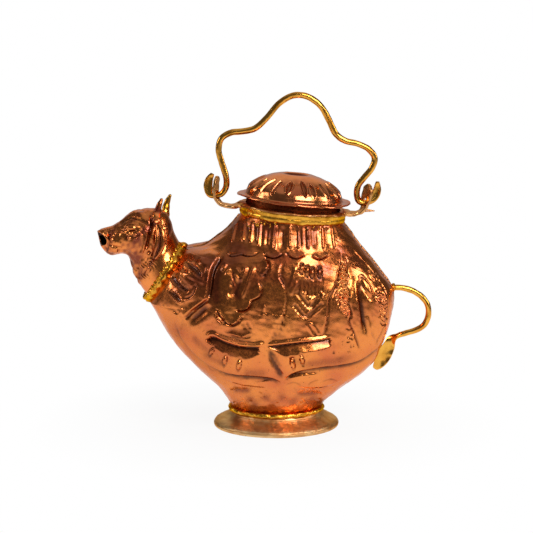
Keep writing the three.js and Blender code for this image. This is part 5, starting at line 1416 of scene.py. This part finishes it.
def studioWorld():
    # white sweep behind the pot, a dim room on its other sides that is lighter towards the ceiling
    world = bpy.data.worlds.new("studio")
    bpy.context.scene.world = world
    world.use_nodes = True
    tree = world.node_tree
    tree.nodes.clear()
    way = wire(tree, "ShaderNodeTexCoord", {}, "Generated")
    up = wire(tree, "ShaderNodeSeparateXYZ", {0: way}, "Z")
    level = spread(tree, up, studio["ceilingFrom"], 1.0, studio["roomDark"], studio["roomTop"], "SMOOTHSTEP")
    flat = wire(tree, "ShaderNodeVectorMath", {0: way, 1: (1, 1, 0)}, operation="MULTIPLY")
    flat = wire(tree, "ShaderNodeVectorMath", {0: flat}, operation="NORMALIZE")
    back = wire(tree, "ShaderNodeSeparateXYZ", {0: flat}, "Y")
    sweep = sums(tree, "MULTIPLY", spread(tree, back, *studio["backEdge"], kind="SMOOTHSTEP"),
                 spread(tree, up, *studio["backTop"], kind="SMOOTHSTEP"))
    sweep = sums(tree, "MULTIPLY", sweep, spread(tree, up, *studio["backFoot"]))
    level = mixNumbers(tree, sweep, level, studio["backWhite"])
    path = tree.nodes.new("ShaderNodeLightPath").outputs
    seen = sums(tree, "ADD", path["Is Camera Ray"], path["Is Transmission Ray"], clamp=True)
    sky = wire(tree, "ShaderNodeBackground", {"Color": white, "Strength": mixNumbers(tree, seen, level, 1.0)})
    wire(tree, "ShaderNodeOutputWorld", {"Surface": sky})


def softbox(name, azimuth, elevation, distance, width, height, radiance):
    # azimuth 0 is the camera's side, 90 the right; radiance 1 shows as white in a mirror
    a, e = math.radians(azimuth), math.radians(elevation)
    way = Vector((math.sin(a) * math.cos(e), -math.cos(a) * math.cos(e), math.sin(e)))
    place = studio["boxAim"] + distance * way
    lamp = bpy.data.lights.new(name, "AREA")
    lamp.shape, lamp.size, lamp.size_y = "RECTANGLE", width, height
    lamp.energy = radiance * math.pi * width * height
    box = bpy.data.objects.new(name, lamp)
    box.location = place
    box.rotation_euler = (studio["boxAim"] - place).to_track_quat("-Z", "Y").to_euler()
    bpy.context.scene.collection.objects.link(box)


def lookThroughCamera():
    e = view["elevation"]
    camera = bpy.data.cameras.new("camera")
    camera.lens, camera.sensor_width, camera.clip_end = view["lens"], view["sensor"], view["clipEnd"]
    eye = bpy.data.objects.new("camera", camera)
    aim = Vector(((view["aimX"] + footAxisX) * millimetre, 0, view["aimZ"] * millimetre))
    eye.location = aim + Vector((0, -math.cos(e), math.sin(e))) * (view["distance"] * millimetre)
    eye.rotation_euler = (math.pi / 2 - e, 0, 0)
    bpy.context.scene.collection.objects.link(eye)
    bpy.context.scene.camera = eye
    bpy.context.scene.view_settings.view_transform = "Standard"


paleFloor()
studioWorld()
for name, settings in softboxes.items():
    softbox(name, **settings)
lookThroughCamera()
print("floor, light and camera ready")

bpy.context.view_layer.update()
